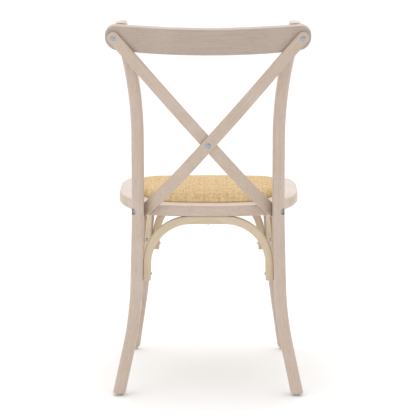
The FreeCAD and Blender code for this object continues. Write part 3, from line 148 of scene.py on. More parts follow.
class Graph:
    """Node graph with its main shader."""

    def __init__(self, tree: bpy.types.NodeTree, shader: str) -> None:
        """Keep the tree and its main shader.

        Args:
            tree: Node tree of a material or a world.
            shader: Name of its main shader.
        """
        self.tree = tree
        self.shader = tree.nodes[shader]

    def node(self, kind: str, settings: dict | None = None, inputs: dict | None = None,
             output: int | str = 0) -> Signal:
        """Add a node of any type.

        Args:
            kind: Type of the node.
            settings: Attributes that are set on the node.
            inputs: Values or signals by input name or number.
            output: Name or number of the output that is returned.

        Returns:
            The node's output as a signal.
        """
        made = self.tree.nodes.new(kind)
        for name, value in (settings or {}).items():
            setattr(made, name, value)
        for key, value in (inputs or {}).items():
            self.plug(made.inputs[key], value)
        return Signal(self, made.outputs[output])

    def plug(self, socket: bpy.types.NodeSocket, value: object) -> None:
        """Link a signal to an input, or set the input's own value.

        Args:
            socket: Input of a node.
            value: Signal, number, vector or colour.
        """
        if isinstance(value, Signal):
            self.tree.links.new(value.socket, socket)
        elif isinstance(value, tuple) and socket.type == "RGBA":
            socket.default_value = (*value, 1.0)
        else:
            socket.default_value = value

    def place(self) -> Signal:
        """Position on the piece, in metres."""
        return self.node("ShaderNodeTexCoord", output="Object")

    def split(self, vector: Signal) -> tuple[Signal, Signal, Signal]:
        """The three parts of a vector."""
        parts = self.tree.nodes.new("ShaderNodeSeparateXYZ")
        self.plug(parts.inputs[0], vector)
        return tuple(Signal(self, parts.outputs[n]) for n in range(3))

    def join(self, x: Signal | float, y: Signal | float, z: Signal | float) -> Signal:
        """A vector from its three parts."""
        return self.node("ShaderNodeCombineXYZ", inputs={0: x, 1: y, 2: z})

    def noise(self, vector: Signal, scale: float, detail: float = 2.0,
              roughness: float = 0.5) -> Signal:
        """Smooth noise around a half.

        Args:
            vector: Where the noise is read.
            scale: Size of the pattern, as waves for each unit.
            detail: Number of finer layers.
            roughness: Strength of the finer layers.

        Returns:
            The noise.
        """
        return self.node("ShaderNodeTexNoise", inputs={
            "Vector": vector, "Scale": scale, "Detail": detail, "Roughness": roughness})

    def blend(self, share: Signal | float, first: Signal | Colour,
              second: Signal | Colour) -> Signal:
        """Mix two colours.

        Args:
            share: Share of the second colour.
            first: First colour.
            second: Second colour.

        Returns:
            The mixed colour.
        """
        made = self.tree.nodes.new("ShaderNodeMix")
        made.data_type = "RGBA"
        self.plug(made.inputs["Factor"], share)
        self.plug(made.inputs[6], first)
        self.plug(made.inputs[7], second)
        return Signal(self, made.outputs[2])

    def relief(self, height: Signal, depth: float, strength: float = 1.0) -> None:
        """Feed a bump to the shader's normal.

        Args:
            height: Height from 0 to 1.
            depth: Depth of the relief, in metres.
            strength: Strength of the bump.
        """
        self.plug(self.shader.inputs["Normal"], self.node(
            "ShaderNodeBump",
            inputs={"Height": height, "Distance": depth, "Strength": strength}))

    def surface(self, **values: object) -> None:
        """Set or link the main shader's inputs.

        Args:
            **values: Signals or values by input name, with _ for each space.
        """
        for name, value in values.items():
            self.plug(self.shader.inputs[name.replace("_", " ")], value)


class MaterialGraph(Graph):
    """Node graph of a new material."""

    def __init__(self, name: str) -> None:
        """Start a material.

        Args:
            name: Name of the material.
        """
        self.material = bpy.data.materials.new(name)
        self.material.use_nodes = True
        super().__init__(self.material.node_tree, "Principled BSDF")


# Finishes


class Run(Enum):
    """How the grain of a wooden piece runs."""

    UPRIGHT = "up the legs"
    ACROSS = "along the crest rail"
    AROUND_SEAT = "around the bent seat ring"
    OVER_WIDTH = "over an arch from side to side"
    OVER_DEPTH = "over an arch from front to back"
    RISING_LEFT = "up a strap towards the left"
    RISING_RIGHT = "up a strap towards the right"


@dataclass(frozen=True)
class WoodFinish:
    """Whitewashed or clear coated wood with streaks and pores along its grain."""

    name: str
    pale: Colour
    tint: Colour
    pore: Colour
    wash: Colour
    streak_width: float = 0.0026
    streak_length: float = 0.16
    pore_width: float = 0.00055
    pore_length: float = 0.014
    band_width: float = 0.0085
    band_share: float = 0.12
    tint_share: float = 0.75
    pore_share: float = 0.4
    wash_share: float = 0.35
    roughness: float = 0.52
    coat: float = 0.85
    coat_roughness: float = 0.36
    relief_depth: float = 0.00018
    sway_scale: float = 9.0
    sway_depth: float = 0.006
    drift_length: float = 0.25
    drift_width: float = 0.03
    drift_depth: float = 0.018
    cloud_scale: float = 14.0
    # Painted shade on the seat ring's outer sides: its colour, its share and where it starts and
    # fades.
    painted_side_shade: Colour = from_screen(176, 156, 116)
    painted_side_shade_share: float = 0.0
    painted_side_shade_start: float = 0.19
    painted_side_shade_fade: float = 0.012
    painted_side_shade_top: float = 0.4475
    painted_side_shade_drop: float = 0.005
    arch_height: float = 0.30
    arch_radius: float = 0.12
    seat_middle: float = -0.04
    seat_radius: float = 0.2
    strap_lean: float = 0.722

    def grain_frame(self, graph: MaterialGraph, run: Run,
                    shift: float) -> tuple[Signal, Signal, Signal]:
        """Distance along the grain and the two distances across it.

        Args:
            graph: Graph that gets the nodes.
            run: How the grain runs.
            shift: Distance that tells this piece's grain from the next one's.

        Returns:
            Signals along, across and through the wood, in metres.
        """
        x, y, z = graph.split(graph.place())
        if run is Run.UPRIGHT:
            return z + shift, x, y
        if run is Run.ACROSS:
            return x + shift, z, y
        if run is Run.AROUND_SEAT:
            behind = y - self.seat_middle
            turn = x.maths("ARCTAN2", behind)
            out = (x * x + behind * behind).maths("SQRT")
            return turn * self.seat_radius + shift, out, z
        if run in (Run.OVER_WIDTH, Run.OVER_DEPTH):
            side = x if run is Run.OVER_WIDTH else y - self.seat_middle
            high = z - self.arch_height
            out = (side * side + high * high).maths("SQRT")
            turn = side.maths("ARCTAN2", high)
            return turn * self.arch_radius + shift, out, y if run is Run.OVER_WIDTH else x
        sign = 1.0 if run is Run.RISING_LEFT else -1.0
        slant = math.sin(self.strap_lean) * sign
        rise = math.cos(self.strap_lean)
        return z * rise + x * slant + shift, x * rise - z * slant, y

    def painted_side_shade_edge(self, graph: MaterialGraph) -> Signal:
        """Share of painted shade on the outer sides of the seat ring, which makes them darker and
        warmer below the top.

        Args:
            graph: Graph that gets the nodes.

        Returns:
            1 on the outer sides, 0 on the top and towards the middle.
        """
        side, _, height = graph.split(graph.place())
        outer = side.maths("ABSOLUTE").sharpen(self.painted_side_shade_start, self.painted_side_shade_start + self.painted_side_shade_fade)
        return outer * (self.painted_side_shade_top - height).sharpen(0.0, self.painted_side_shade_drop)

    def make(self, run: Run, shift: float = 0.0) -> bpy.types.Material:
        """Build the material for one run of the grain.

        Args:
            run: How the grain runs.
            shift: Distance that tells this piece's grain from the next one's.

        Returns:
            The material.
        """
        graph = MaterialGraph(f"{self.name}_{run.name.lower()}_{round(shift * 100)}")
        along, across, through = self.grain_frame(graph, run, shift)
        spot = graph.place()
        sway = (graph.noise(spot, self.sway_scale, 2.0) - 0.5) * self.sway_depth
        across = across + sway
        through = through + sway * 0.6
        streaks = graph.noise(graph.join(
            along / self.streak_length, across / self.streak_width, through / self.streak_width),
            1.0, 4.0, 0.62)
        fine = graph.noise(graph.join(
            along / (self.streak_length * 0.4), across / (self.streak_width * 0.33),
            through / (self.streak_width * 0.33)), 1.0, 2.0, 0.5)
        pores = graph.noise(graph.join(
            along / self.pore_length, across / self.pore_width, through / self.pore_width),
            1.0, 1.0, 0.4).sharpen(0.60, 0.74)
        drift = graph.noise(graph.join(
            along / self.drift_length, across / self.drift_width, through / self.drift_width),
            1.0, 2.0)
        bands = across + through * 0.45 + drift * self.drift_depth
        bands = (bands * (2.0 * math.pi / self.band_width)).maths("SINE") * 0.5 + 0.5
        figure = (streaks.sharpen(0.36, 0.68) * (0.78 - self.band_share)
                  + bands * self.band_share + fine.sharpen(0.35, 0.7) * 0.22)
        cloud = graph.noise(spot, self.cloud_scale, 3.0, 0.6).sharpen(0.42, 0.72)
        colour = graph.blend(figure * self.tint_share, self.pale, self.tint)
        colour = graph.blend(cloud * self.wash_share, colour, self.wash)
        colour = graph.blend(pores * self.pore_share, colour, self.pore)
        # Painted shade: darken and warm the outer sides of the seat ring.
        if self.painted_side_shade_share > 0.0:
            colour = graph.blend(self.painted_side_shade_edge(graph) * self.painted_side_shade_share, colour, self.painted_side_shade)
        graph.surface(Base_Color=colour, Roughness=self.roughness + figure * 0.1 - cloud * 0.05,
                      IOR=1.46, Coat_Weight=self.coat, Coat_Roughness=self.coat_roughness)
        graph.relief(figure * 0.35 - pores * 0.65 + fine * 0.2, self.relief_depth, 0.6)
        return graph.material


@dataclass(frozen=True)
class PlyFinish:
    """Raw plywood whose thin layers show on its edge."""

    name: str = "raw_ply"
    face: Colour = from_screen(214, 189, 148)
    glue: Colour = from_screen(150, 112, 70)
    layer: float = 0.0015

    def make(self) -> bpy.types.Material:
        """Build the material."""
        graph = MaterialGraph(self.name)
        x, y, z = graph.split(graph.place())
        grain = graph.noise(graph.join(x / 0.002, y / 0.09, z / 0.002), 1.0, 4.0, 0.6)
        line = (z * (2.0 * math.pi / self.layer)).maths("SINE").sharpen(0.2, 0.9)
        colour = graph.blend(grain.sharpen(0.35, 0.7) * 0.4, self.face, self.glue)
        colour = graph.blend(line * 0.35, colour, self.glue)
        graph.surface(Base_Color=colour, Roughness=0.68 + grain * 0.12)
        graph.relief(grain, 0.0002, 0.5)
        return graph.material


@dataclass(frozen=True)
class ZincFinish:
    """Bright zinc plate with turning marks, a blue cast and dull patches."""

    name: str = "bright_zinc"
    bright: Colour = from_screen(176, 184, 194)
    dull: Colour = from_screen(112, 122, 134)

    def make(self) -> bpy.types.Material:
        """Build the material."""
        graph = MaterialGraph(self.name)
        spot = graph.place()
        patches = graph.noise(spot, 420.0, 3.0, 0.6)
        marks = graph.noise(spot, 2600.0, 2.0, 0.5)
        colour = graph.blend(patches.sharpen(0.4, 0.7) * 0.6, self.bright, self.dull)
        graph.surface(Base_Color=colour, Metallic=1.0,
                      Roughness=0.26 + patches * 0.14 + marks * 0.06)
        graph.relief(marks * 0.5 + patches * 0.5, 0.00003, 0.4)
        return graph.material


@dataclass(frozen=True)
class MouldedFinish:
    """Pale moulded plastic with a fine pitted skin and scuffs."""

    name: str = "moulded_glide"
    clean: Colour = from_screen(214, 209, 199)
    scuffed: Colour = from_screen(164, 156, 143)

    def make(self) -> bpy.types.Material:
        """Build the material."""
        graph = MaterialGraph(self.name)
        spot = graph.place()
        _, _, z = graph.split(spot)
        pits = graph.noise(spot, 1800.0, 2.0, 0.5)
        scuffs = graph.noise(spot, 260.0, 4.0, 0.7).sharpen(0.45, 0.65)
        low = 1.0 - z.sharpen(0.0, 0.005)
        colour = graph.blend(scuffs * (0.25 + low * 0.55), self.clean, self.scuffed)
        graph.surface(Base_Color=colour, Roughness=0.5 + scuffs * 0.2)
        graph.relief(pits * 0.6 - scuffs * 0.4, 0.00008, 0.5)
        return graph.material


@dataclass(frozen=True)
class RattanFinish:
    """Split rattan with a glossy golden skin, fibres and nodes."""

    name: str
    skin: Colour = from_screen(234, 208, 152)
    deep: Colour = from_screen(174, 126, 72)
    straw: Colour = from_screen(233, 210, 148)
    knot: Colour = from_screen(166, 120, 66)
    pitch: float = 0.0035
    lengthwise: bool = False
    fibre_length: float = 0.02
    fibre_width: float = 0.0003
    patch_length: float = 0.03
    patch_width: float = 0.007
    knot_spacing: float = 0.008
    relief_depth: float = 0.00012

    def chance(self, graph: MaterialGraph, key: Signal) -> Signal:
        """Value from 0 to 1 that belongs to one strand."""
        return graph.node("ShaderNodeTexWhiteNoise", {"noise_dimensions": "1D"}, {"W": key})

    def make(self) -> bpy.types.Material:
        """Build the material."""
        graph = MaterialGraph(self.name)
        x, y, z = graph.split(graph.place())
        along, across = (y, x) if self.lengthwise else (x, y)
        strand = (across / self.pitch).maths("FLOOR")
        own = self.chance(graph, strand)
        turn = ((along / self.pitch + strand) / 2.0).maths("FLOOR")
        bit = graph.node("ShaderNodeTexWhiteNoise", {"noise_dimensions": "2D"},
                         {"Vector": graph.join(turn, strand, 0.0)})
        fibre = graph.noise(graph.join(
            along / self.fibre_length, across / self.fibre_width, z / (self.fibre_width * 2.0)),
            1.0, 3.0, 0.6)
        patch = graph.noise(graph.join(along / self.patch_length, across / self.patch_width, 0.0),
                            1.0, 2.0, 0.6)
        joint = graph.noise(graph.join(along / self.knot_spacing, strand * 5.3, 4.0), 1.0, 0.0)
        shade = own * 0.26 + bit * 0.3 + patch.sharpen(0.42, 0.6) * 0.34 + fibre * 0.1
        skin = graph.blend(self.chance(graph, strand + 71.5) * 0.7, self.skin, self.straw)
        colour = graph.blend(shade, skin, self.deep)
        colour = graph.blend(joint.sharpen(0.73, 0.82) * 0.7, colour, self.knot)
        graph.surface(Base_Color=colour, Roughness=0.42 + fibre * 0.2, Coat_Weight=0.1,
                      Coat_Roughness=0.3)
        graph.relief(fibre, self.relief_depth, 0.6)
        return graph.material


# Mesh tools


def rest_selection() -> None:
    """Leave edit mode and let go of everything."""
    if bpy.context.mode != "OBJECT":
        bpy.ops.object.mode_set(mode="OBJECT")
    bpy.ops.object.select_all(action="DESELECT")


def take(piece: bpy.types.Object) -> None:
    """Select one piece alone and make it active."""
    rest_selection()
    piece.select_set(True)
    bpy.context.view_layer.objects.active = piece


def points_of(piece: bpy.types.Object) -> np.ndarray:
    """Vertices of a piece as rows of x, y and z."""
    places = np.empty(len(piece.data.vertices) * 3)
    piece.data.vertices.foreach_get("co", places)
    return places.reshape(-1, 3)


def set_points(piece: bpy.types.Object, places: np.ndarray) -> None:
    """Move the vertices of a piece."""
    piece.data.vertices.foreach_set("co", places.ravel())
    piece.data.update()


# Sub-assemblies


@dataclass
class SeatShape:
    """Outline and cross section of the rattan seat, in metres."""

    tip: tuple[float, float] = (0.0, 0.1395)
    shoulder: tuple[float, float] = (0.1205, 0.1095)
    flank: tuple[float, float] = (0.1762, -0.0094)
    corner: tuple[float, float] = (0.1683, -0.2076)
    bends: tuple[float, float, float, float] = (0.4037, 0.025, 0.2766, 0.04)
    low: float = 0.4485
    rim: float = 0.0125
    crown: float = 0.0049
    roll_ahead: float = 0.011
    roll_behind: float = 0.05
    turn_ahead: float = 90.0
    turn_behind: float = 48.0
    side: float = 0.0022
    crown_centre: float = -0.047
    crown_reach: float = 0.22
    shrink: float = 0.0008
    rear_start: float = 0.25
    rear_span: float = 0.6
    clear: float = 0.0001
    arc_steps: int = 40
    line: np.ndarray = field(default_factory=lambda: np.zeros((0, 2)))

    def __post_init__(self) -> None:
        """Work out the rounded outline once."""
        right = [self.shoulder, self.flank, self.corner]
        left = [(-x, y) for x, y in reversed(right)]
        corners = np.array([self.tip] + right + left)
        bow, shoulder, flank, corner = self.bends
        bends = [bow, shoulder, flank, corner, corner, flank, shoulder]
        places = []
        for number, bend in enumerate(bends):
            here = corners[number]
            back = corners[number - 1] - here
            ahead = corners[(number + 1) % len(corners)] - here
            back = back / np.linalg.norm(back)
            ahead = ahead / np.linalg.norm(ahead)
            half = math.acos(float(np.clip(back @ ahead, -1.0, 1.0))) / 2.0
            middle = here + (back + ahead) / np.linalg.norm(back + ahead) * (bend / math.sin(half))
            start = here + back * (bend / math.tan(half)) - middle
            finish = here + ahead * (bend / math.tan(half)) - middle
            first = math.atan2(start[1], start[0])
            swing = math.atan2(start[0] * finish[1] - start[1] * finish[0], start @ finish)
            for share in np.linspace(0.0, 1.0, self.arc_steps):
                angle = first + swing * share
                places.append(middle + bend * np.array([math.cos(angle), math.sin(angle)]))
        self.line = np.array(places)

    def edge_of(self, flat: np.ndarray) -> tuple[np.ndarray, np.ndarray, np.ndarray]:
        """Nearest outline point of each flat point.

        Args:
            flat: Rows of x and y.

        Returns:
            Distance inside the outline, nearest point and outward direction.
        """
        starts = self.line
        runs = np.roll(self.line, -1, axis=0) - starts
        lengths = np.maximum((runs ** 2).sum(1), 1e-12)
        best = np.full(len(flat), 1e9)
        near = np.zeros_like(flat)
        for start, run, length in zip(starts, runs, lengths):
            share = np.clip(((flat - start) @ run) / length, 0.0, 1.0)
            spot = start + share[:, None] * run
            gap = ((flat - spot) ** 2).sum(1)
            closer = gap < best
            best[closer] = gap[closer]
            near[closer] = spot[closer]
        crossings = np.zeros(len(flat), dtype=int)
        for start, run in zip(starts, runs):
            if run[1] == 0.0:
                continue
            spans = (start[1] > flat[:, 1]) != (start[1] + run[1] > flat[:, 1])
            at = start[0] + (flat[:, 1] - start[1]) * run[0] / run[1]
            crossings += spans & (flat[:, 0] < at)
        inside = crossings % 2 == 1
        distance = np.sqrt(best)
        outward = (near - flat) / np.maximum(distance, 1e-9)[:, None]
        outward[~inside] *= -1.0
        return np.where(inside, distance, -distance), near, outward

    def wrap(self, places: np.ndarray) -> np.ndarray:
        """Lay a flat mat over the crown and down the rolled border.

        Args:
            places: Rows of x, y and the height above the mat.

        Returns:
            The places on the seat.
        """
        inside, near, outward = self.edge_of(places[:, :2])
        inside = inside - self.shrink
        lift = places[:, 2]
        reach = np.hypot(places[:, 0], places[:, 1] - self.crown_centre) / self.crown_reach
        top = self.low + self.rim + self.crown * (1.0 - reach ** 2)
        behind = np.clip((outward[:, 1] - self.rear_start) / self.rear_span, 0.0, 1.0)
        behind = behind * behind * (3.0 - 2.0 * behind)
        last = np.radians(self.turn_ahead + (self.turn_behind - self.turn_ahead) * behind)
        width = self.roll_ahead + (self.roll_behind - self.roll_ahead) * behind
        wide = width / np.sin(last)
        high = (top - self.low - self.side) / (1.0 - np.cos(last))
        along = np.maximum(width - inside, 0.0)
        full = last * np.sqrt((wide ** 2 + high ** 2) / 2.0)
        turn = np.minimum(along / full, 1.0) * last
        drop = high * (1.0 - np.cos(turn)) + np.maximum(along - full, 0.0)
        inward = self.shrink + width - wide * np.sin(turn)
        lean = np.hypot(high * np.sin(turn), wide * np.cos(turn))
        rolled = near - outward * (inward - lift * high * np.sin(turn) / lean)[:, None]
        made = np.empty_like(places)
        flat = (along <= 0.0)[:, None]
        made[:, :2] = np.where(flat, places[:, :2], rolled)
        raised = top - drop + lift * wide * np.cos(turn) / lean
        made[:, 2] = np.maximum(raised, self.low + self.clear)
        return made

    def spare(self) -> float:
        """Mat that hangs past the outline to reach the seat ring."""
        high = self.rim + self.crown
        quarter = math.pi / 2.0 * math.hypot(self.roll_ahead, high) / math.sqrt(2.0)
        return quarter - self.roll_ahead + self.side


@dataclass
class RattanSeat:
    """Woven rattan seat: a bed with a plain weave of split strands over it."""

    shape: SeatShape = field(default_factory=SeatShape)
    pitch: float = 0.0035
    strand_width: float = 0.0031
    wave: float = 0.00062
    crest: float = 0.0006
    bed_depth: float = 0.0011
    bed_pitch: float = 0.005
    mat_spare: float = 0.06
    mat_reach: float = 0.2
    strand_gap: float = 0.001
    bed_crease: float = 50.0
    node: str = "rattan_seat"
    bed_finish: RattanFinish = RattanFinish(
        "rattan_bed_skin", skin=from_screen(176, 132, 80), deep=from_screen(122, 84, 44))
    weft_finish: RattanFinish = RattanFinish("rattan_weft_skin")
    warp_finish: RattanFinish = RattanFinish(
        "rattan_warp_skin", lengthwise=True, skin=from_screen(237, 213, 160),
        deep=from_screen(182, 134, 78))

    def trim(self, piece: bpy.types.Object, spare: float) -> None:
        """Delete the faces that lie past the mat's edge.

        Args:
            piece: Flat mat.
            spare: Distance that the mat keeps past the outline.
        """
        mesh = piece.data
        middles = np.empty(len(mesh.polygons) * 3)
        mesh.polygons.foreach_get("center", middles)
        inside = self.shape.edge_of(middles.reshape(-1, 3)[:, :2])[0]
        take(piece)
        bpy.ops.object.mode_set(mode="EDIT")
        bpy.ops.mesh.select_mode(type="FACE")
        bpy.ops.mesh.select_all(action="DESELECT")
        bpy.ops.object.mode_set(mode="OBJECT")
        mesh.polygons.foreach_set("select", inside < -spare)
        bpy.ops.object.mode_set(mode="EDIT")
        bpy.ops.mesh.delete(type="FACE")
        bpy.ops.object.mode_set(mode="OBJECT")

    def make_bed(self) -> bpy.types.Object:
        """Closed crowned body under the weave.

        Returns:
            The bed.
        """
        low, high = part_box(self.node)
        size = max(high[0] - low[0], high[1] - low[1]) + self.mat_spare
        count = round(size / self.bed_pitch)
        rest_selection()
        middle = ((low[0] + high[0]) / 2.0, (low[1] + high[1]) / 2.0, 0.0)
        bpy.ops.mesh.primitive_grid_add(x_subdivisions=count, y_subdivisions=count, size=size,
                                        location=middle)
        bed = bpy.context.active_object
        bed.name = bed.data.name = "rattan_bed"
        bpy.ops.object.transform_apply(location=True, rotation=True, scale=True)
        self.trim(bed, self.shape.spare() + self.bed_pitch)
        places = points_of(bed)
        places[:, 2] = -self.bed_depth
        set_points(bed, self.shape.wrap(places))
        take(bed)
        bpy.ops.object.mode_set(mode="EDIT")
        bpy.ops.mesh.select_mode(type="EDGE")
        bpy.ops.mesh.select_all(action="SELECT")
        bpy.ops.mesh.remove_doubles(threshold=0.0001)
        bpy.ops.mesh.dissolve_degenerate(threshold=0.00005)
        bpy.ops.mesh.select_all(action="DESELECT")
        bpy.ops.mesh.select_non_manifold(extend=False)
        bpy.ops.mesh.fill()
        bpy.ops.mesh.select_all(action="SELECT")
        bpy.ops.mesh.normals_make_consistent(inside=False)
        bpy.ops.object.mode_set(mode="OBJECT")
        bpy.ops.object.shade_smooth_by_angle(angle=math.radians(self.bed_crease))
        return bed

    def make_strand_pair(self, name: str) -> bpy.types.Object:
        """Two neighbouring strands of one woven repeat, lying side by side.

        Args:
            name: Name of the piece.

        Returns:
            The flat repeat, one over and one under long, with its wave.
        """
        rest_selection()
        bpy.ops.mesh.primitive_grid_add(x_subdivisions=4, y_subdivisions=2, size=1.0)
        strand = bpy.context.active_object
        strand.name = strand.data.name = name
        places = points_of(strand)
        phase = places[:, 0] * 2.0 * math.pi
        ridge = 1.0 - (places[:, 1] * 2.0) ** 2
        places[:, 2] = np.sin(phase) * self.wave + ridge * self.crest - self.crest
        places[:, 0] *= self.pitch * 2.0
        places[:, 1] *= self.strand_width
        set_points(strand, places)
        take(strand)
        bpy.ops.object.duplicate()
        other = bpy.context.active_object
        places = points_of(other)
        places[:, 1] += self.pitch
        places[:, 2] = np.sin(phase + math.pi) * self.wave + ridge * self.crest - self.crest
        set_points(other, places)
        strand.select_set(True)
        bpy.context.view_layer.objects.active = strand
        bpy.ops.object.join()
        return strand

    def make_layer(self, name: str, lengthwise: bool) -> bpy.types.Object:
        """One direction of the weave over the whole seat.

        Args:
            name: Name of the piece.
            lengthwise: True for the strands from front to back.

        Returns:
            The layer, laid over the crown and border.
        """
        layer = self.make_strand_pair(name)
        repeat = self.pitch * 2.0
        low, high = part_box(self.node)
        middle = Vector(((low[0] + high[0]) / 2.0, (low[1] + high[1]) / 2.0, 0.0))
        count = 2 * math.ceil(self.mat_reach / repeat) + 2
        for axis in (0, 1):
            step = [0.0, 0.0, 0.0]
            step[axis] = repeat
            rows = layer.modifiers.new("rows", "ARRAY")
            rows.use_relative_offset = False
            rows.use_constant_offset = True
            rows.constant_offset_displace = step
            rows.count = count
            rows.use_merge_vertices = axis == 0
            rows.merge_threshold = 0.00002
            take(layer)
            bpy.ops.object.modifier_apply(modifier=rows.name)
        places = points_of(layer)
        places[:, :2] -= repeat * (count - 1) / 2.0
        places[:, 0] -= self.pitch / 2.0
        places[:, 1] -= self.pitch / 2.0
        if lengthwise:
            places = places[:, [1, 0, 2]]
        places[:, 0] += middle.x
        places[:, 1] += middle.y
        set_points(layer, places)
        self.trim(layer, self.shape.spare() - self.strand_gap)
        set_points(layer, self.shape.wrap(points_of(layer)))
        take(layer)
        if lengthwise:
            bpy.ops.object.mode_set(mode="EDIT")
            bpy.ops.mesh.select_all(action="SELECT")
            bpy.ops.mesh.flip_normals()
            bpy.ops.object.mode_set(mode="OBJECT")
        bpy.ops.object.shade_smooth()
        return layer

    def build(self) -> list[bpy.types.Object]:
        """Model and dress the woven seat.

        Returns:
            The bed and the two layers of strands.
        """
        bed = self.make_bed()
        weft = self.make_layer("rattan_weft", False)
        warp = self.make_layer("rattan_warp", True)
        bed.data.materials.append(self.bed_finish.make())
        weft.data.materials.append(self.weft_finish.make())
        warp.data.materials.append(self.warp_finish.make())
        pieces = [bed, weft, warp]
        for piece in pieces:
            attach(piece, "root")
        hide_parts(self.node)
        return pieces


@dataclass
class WoodenFrame:
    """The chair's own wood and metal, which keep their shapes and get their finishes."""

    limed: WoodFinish = WoodFinish(
        "limed_oak", pale=from_screen(207, 188, 172), tint=from_screen(186, 164, 148),
        pore=from_screen(154, 127, 109), wash=from_screen(213, 199, 188))
    # The seat ring gets painted shade on its outer sides.
    ring: WoodFinish = replace(limed, name="limed_ring", painted_side_shade_share=0.55)
    # Painted shade: the crest rail's limed oak is made darker all over to stand in for the shade
    # on its downward-facing rail.
    crest: WoodFinish = WoodFinish(
        "limed_crest", pale=from_screen(187, 169, 154), tint=from_screen(166, 145, 130),
        pore=from_screen(137, 112, 95), wash=from_screen(193, 179, 168))
    strap: WoodFinish = WoodFinish(
        "limed_strap", pale=from_screen(205, 186, 169), tint=from_screen(182, 158, 140),
        pore=from_screen(148, 121, 103), wash=from_screen(212, 196, 182), streak_width=0.0018)
    bent: WoodFinish = WoodFinish(
        "pale_beech", pale=from_screen(217, 199, 170), tint=from_screen(197, 174, 142),
        pore=from_screen(172, 142, 106), wash=from_screen(230, 218, 196), pore_length=0.004,
        pore_share=0.3, wash_share=0.3)
    dowel: WoodFinish = WoodFinish(
        "raw_beech", pale=from_screen(214, 184, 142), tint=from_screen(190, 154, 108),
        pore=from_screen(150, 110, 70), wash=from_screen(222, 196, 158), pore_length=0.003,
        roughness=0.66)

    def dress(self, node: str, material: bpy.types.Material) -> None:
        """Give one node its finish.

        Args:
            node: Name of the CAD node.
            material: Its finish.
        """
        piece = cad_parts[node]
        if not piece.material_slots:
            piece.data.materials.append(material)
        for slot in piece.material_slots:
            slot.material = material

    def build(self) -> int:
        """Dress every node.

        Returns:
            The number of nodes that got a finish.
        """
        woods = {
            "rear_leg_left": (self.limed, Run.UPRIGHT, 0.0),
            "rear_leg_right": (self.limed, Run.UPRIGHT, 1.3),
            "front_leg_left": (self.limed, Run.UPRIGHT, 2.1),
            "front_leg_right": (self.limed, Run.UPRIGHT, 3.7),
            "crest_rail": (self.crest, Run.ACROSS, 0.0),
            "seat_ring": (self.ring, Run.AROUND_SEAT, 0.0),
            "cross_strap_outer": (self.strap, Run.RISING_RIGHT, 0.0),
            "cross_strap_inner": (self.strap, Run.RISING_LEFT, 1.1),
            "rear_arch": (self.bent, Run.OVER_WIDTH, 0.0),
            "front_arch": (self.bent, Run.OVER_WIDTH, 1.7),
            "side_arch_left": (self.bent, Run.OVER_DEPTH, 0.0),
            "side_arch_right": (self.bent, Run.OVER_DEPTH, 0.9),
            "crest_dowels": (self.dowel, Run.ACROSS, 0.0),
        }
        for node, (finish, run, shift) in woods.items():
            self.dress(node, finish.make(run, shift))
        zinc = ZincFinish().make()
        metal = ("crest_strap_screws", "cross_rivet", "seat_corner_bolts", "barrel_nuts",
                 "arch_leg_screws", "arch_seat_screws", "seat_board_screws", "glide_pins")
        for node in metal:
            self.dress(node, zinc)
        self.dress("seat_board", PlyFinish().make())
        self.dress("foot_glides", MouldedFinish().make())
        self.dress("rattan_seat", RattanFinish("rattan_core").make())
        return len(woods) + len(metal) + 3


@dataclass(frozen=True)
class Softbox:
    """Soft square lamp of the studio."""

    name: str
    place: Point
    aim: Point
    size: float
    power: float

    def hang(self) -> None:
        """Add the lamp to the scene."""
        data = bpy.data.lights.new(self.name, "AREA")
        data.size = self.size
        data.energy = self.power
        lamp = bpy.data.objects.new(self.name, data)
        lamp.location = self.place
        heading = Vector(self.aim) - Vector(self.place)
        lamp.rotation_mode = "QUATERNION"
        lamp.rotation_quaternion = heading.to_track_quat("-Z", "Y")
        bpy.context.scene.collection.objects.link(lamp)


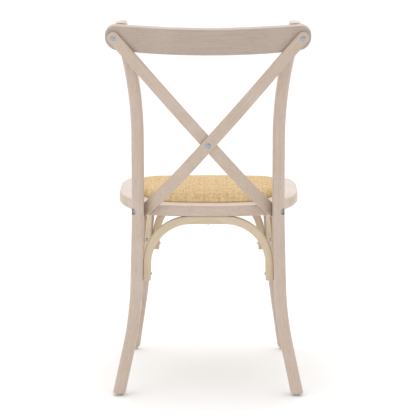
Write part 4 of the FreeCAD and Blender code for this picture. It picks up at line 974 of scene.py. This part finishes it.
@dataclass
class Studio:
    """Plain pale floor, soft light and the camera at the photograph's place."""

    floor_size: float = 90.0
    floor_colour: Colour = (0.93, 0.93, 0.93)
    floor_mist: Colour = (0.90, 0.90, 0.90)
    sky_level: float = 0.42
    sky_above: float = 0.92
    sky_ahead: float = 0.52
    softboxes: tuple[Softbox, ...] = (
        Softbox("top_softbox", (0.3, -0.5, 3.4), (0.0, 0.0, 0.4), 2.6, 14.0),
        Softbox("side_softbox", (2.6, 2.4, 1.8), (0.0, 0.0, 0.5), 1.8, 6.0))
    camera_place: Point = (-0.01994, 4.87706, 1.2654)
    camera_aim: Point = (0.00399, -0.98517, -0.17153)
    camera_right: Point = (-1.0, -0.00405, 0.0)
    lens: float = 175.33
    sensor: float = 36.0
    far: float = 200.0
    shift: tuple[float, float] = (-0.00136, -0.00271)

    def make_floor(self) -> None:
        """Lay the floor that the chair stands on."""
        rest_selection()
        bpy.ops.mesh.primitive_plane_add(size=self.floor_size)
        floor = bpy.context.active_object
        floor.name = "studio_floor"
        graph = MaterialGraph("pale_floor")
        mist = graph.noise(graph.place(), 0.8, 2.0)
        graph.surface(Base_Color=graph.blend(mist * 0.2, self.floor_colour, self.floor_mist),
                      Roughness=0.85)
        floor.data.materials.append(graph.material)

    def make_sky(self) -> None:
        """Light the studio from above and from behind the chair's front."""
        world = bpy.data.worlds.new("soft_sky")
        world.use_nodes = True
        graph = Graph(world.node_tree, "Background")
        _, behind, above = graph.split(graph.node("ShaderNodeTexCoord", output="Generated"))
        level = self.sky_level
        for height, share in ((above, self.sky_above), (behind, -self.sky_ahead)):
            glow = graph.node("ShaderNodeMath", {"operation": "MULTIPLY", "use_clamp": True},
                              {0: height, 1: share})
            level = glow + level
        graph.surface(Color=(1.0, 1.0, 1.0), Strength=level)
        bpy.context.scene.world = world

    def make_camera(self) -> None:
        """Set up the camera at the photograph's viewpoint."""
        data = bpy.data.cameras.new("photo_camera")
        data.lens = self.lens
        data.sensor_width = self.sensor
        data.shift_x, data.shift_y = self.shift
        data.clip_end = self.far
        camera = bpy.data.objects.new("photo_camera", data)
        camera.location = self.camera_place
        ahead = Vector(self.camera_aim).normalized()
        right = Vector(self.camera_right).normalized()
        above = right.cross(ahead)
        camera.rotation_mode = "QUATERNION"
        columns = (right, above, -ahead)
        camera.rotation_quaternion = Matrix(columns).transposed().to_quaternion()
        bpy.context.scene.collection.objects.link(camera)
        bpy.context.scene.camera = camera

    def build(self) -> None:
        """Make the floor, the light and the camera."""
        self.make_floor()
        self.make_sky()
        for softbox in self.softboxes:
            softbox.hang()
        bpy.context.scene.view_settings.view_transform = "Standard"
        self.make_camera()


def main() -> None:
    """Build the chair's looks and the studio."""
    logging.basicConfig(level=logging.INFO, format="%(name)s: %(message)s")
    log.info("dressed %d nodes", WoodenFrame().build())
    for piece in RattanSeat().build():
        log.info("%s has %d faces", piece.name, len(piece.data.polygons))
    Studio().build()
    rest_selection()


if __name__ == "__main__":
    main()
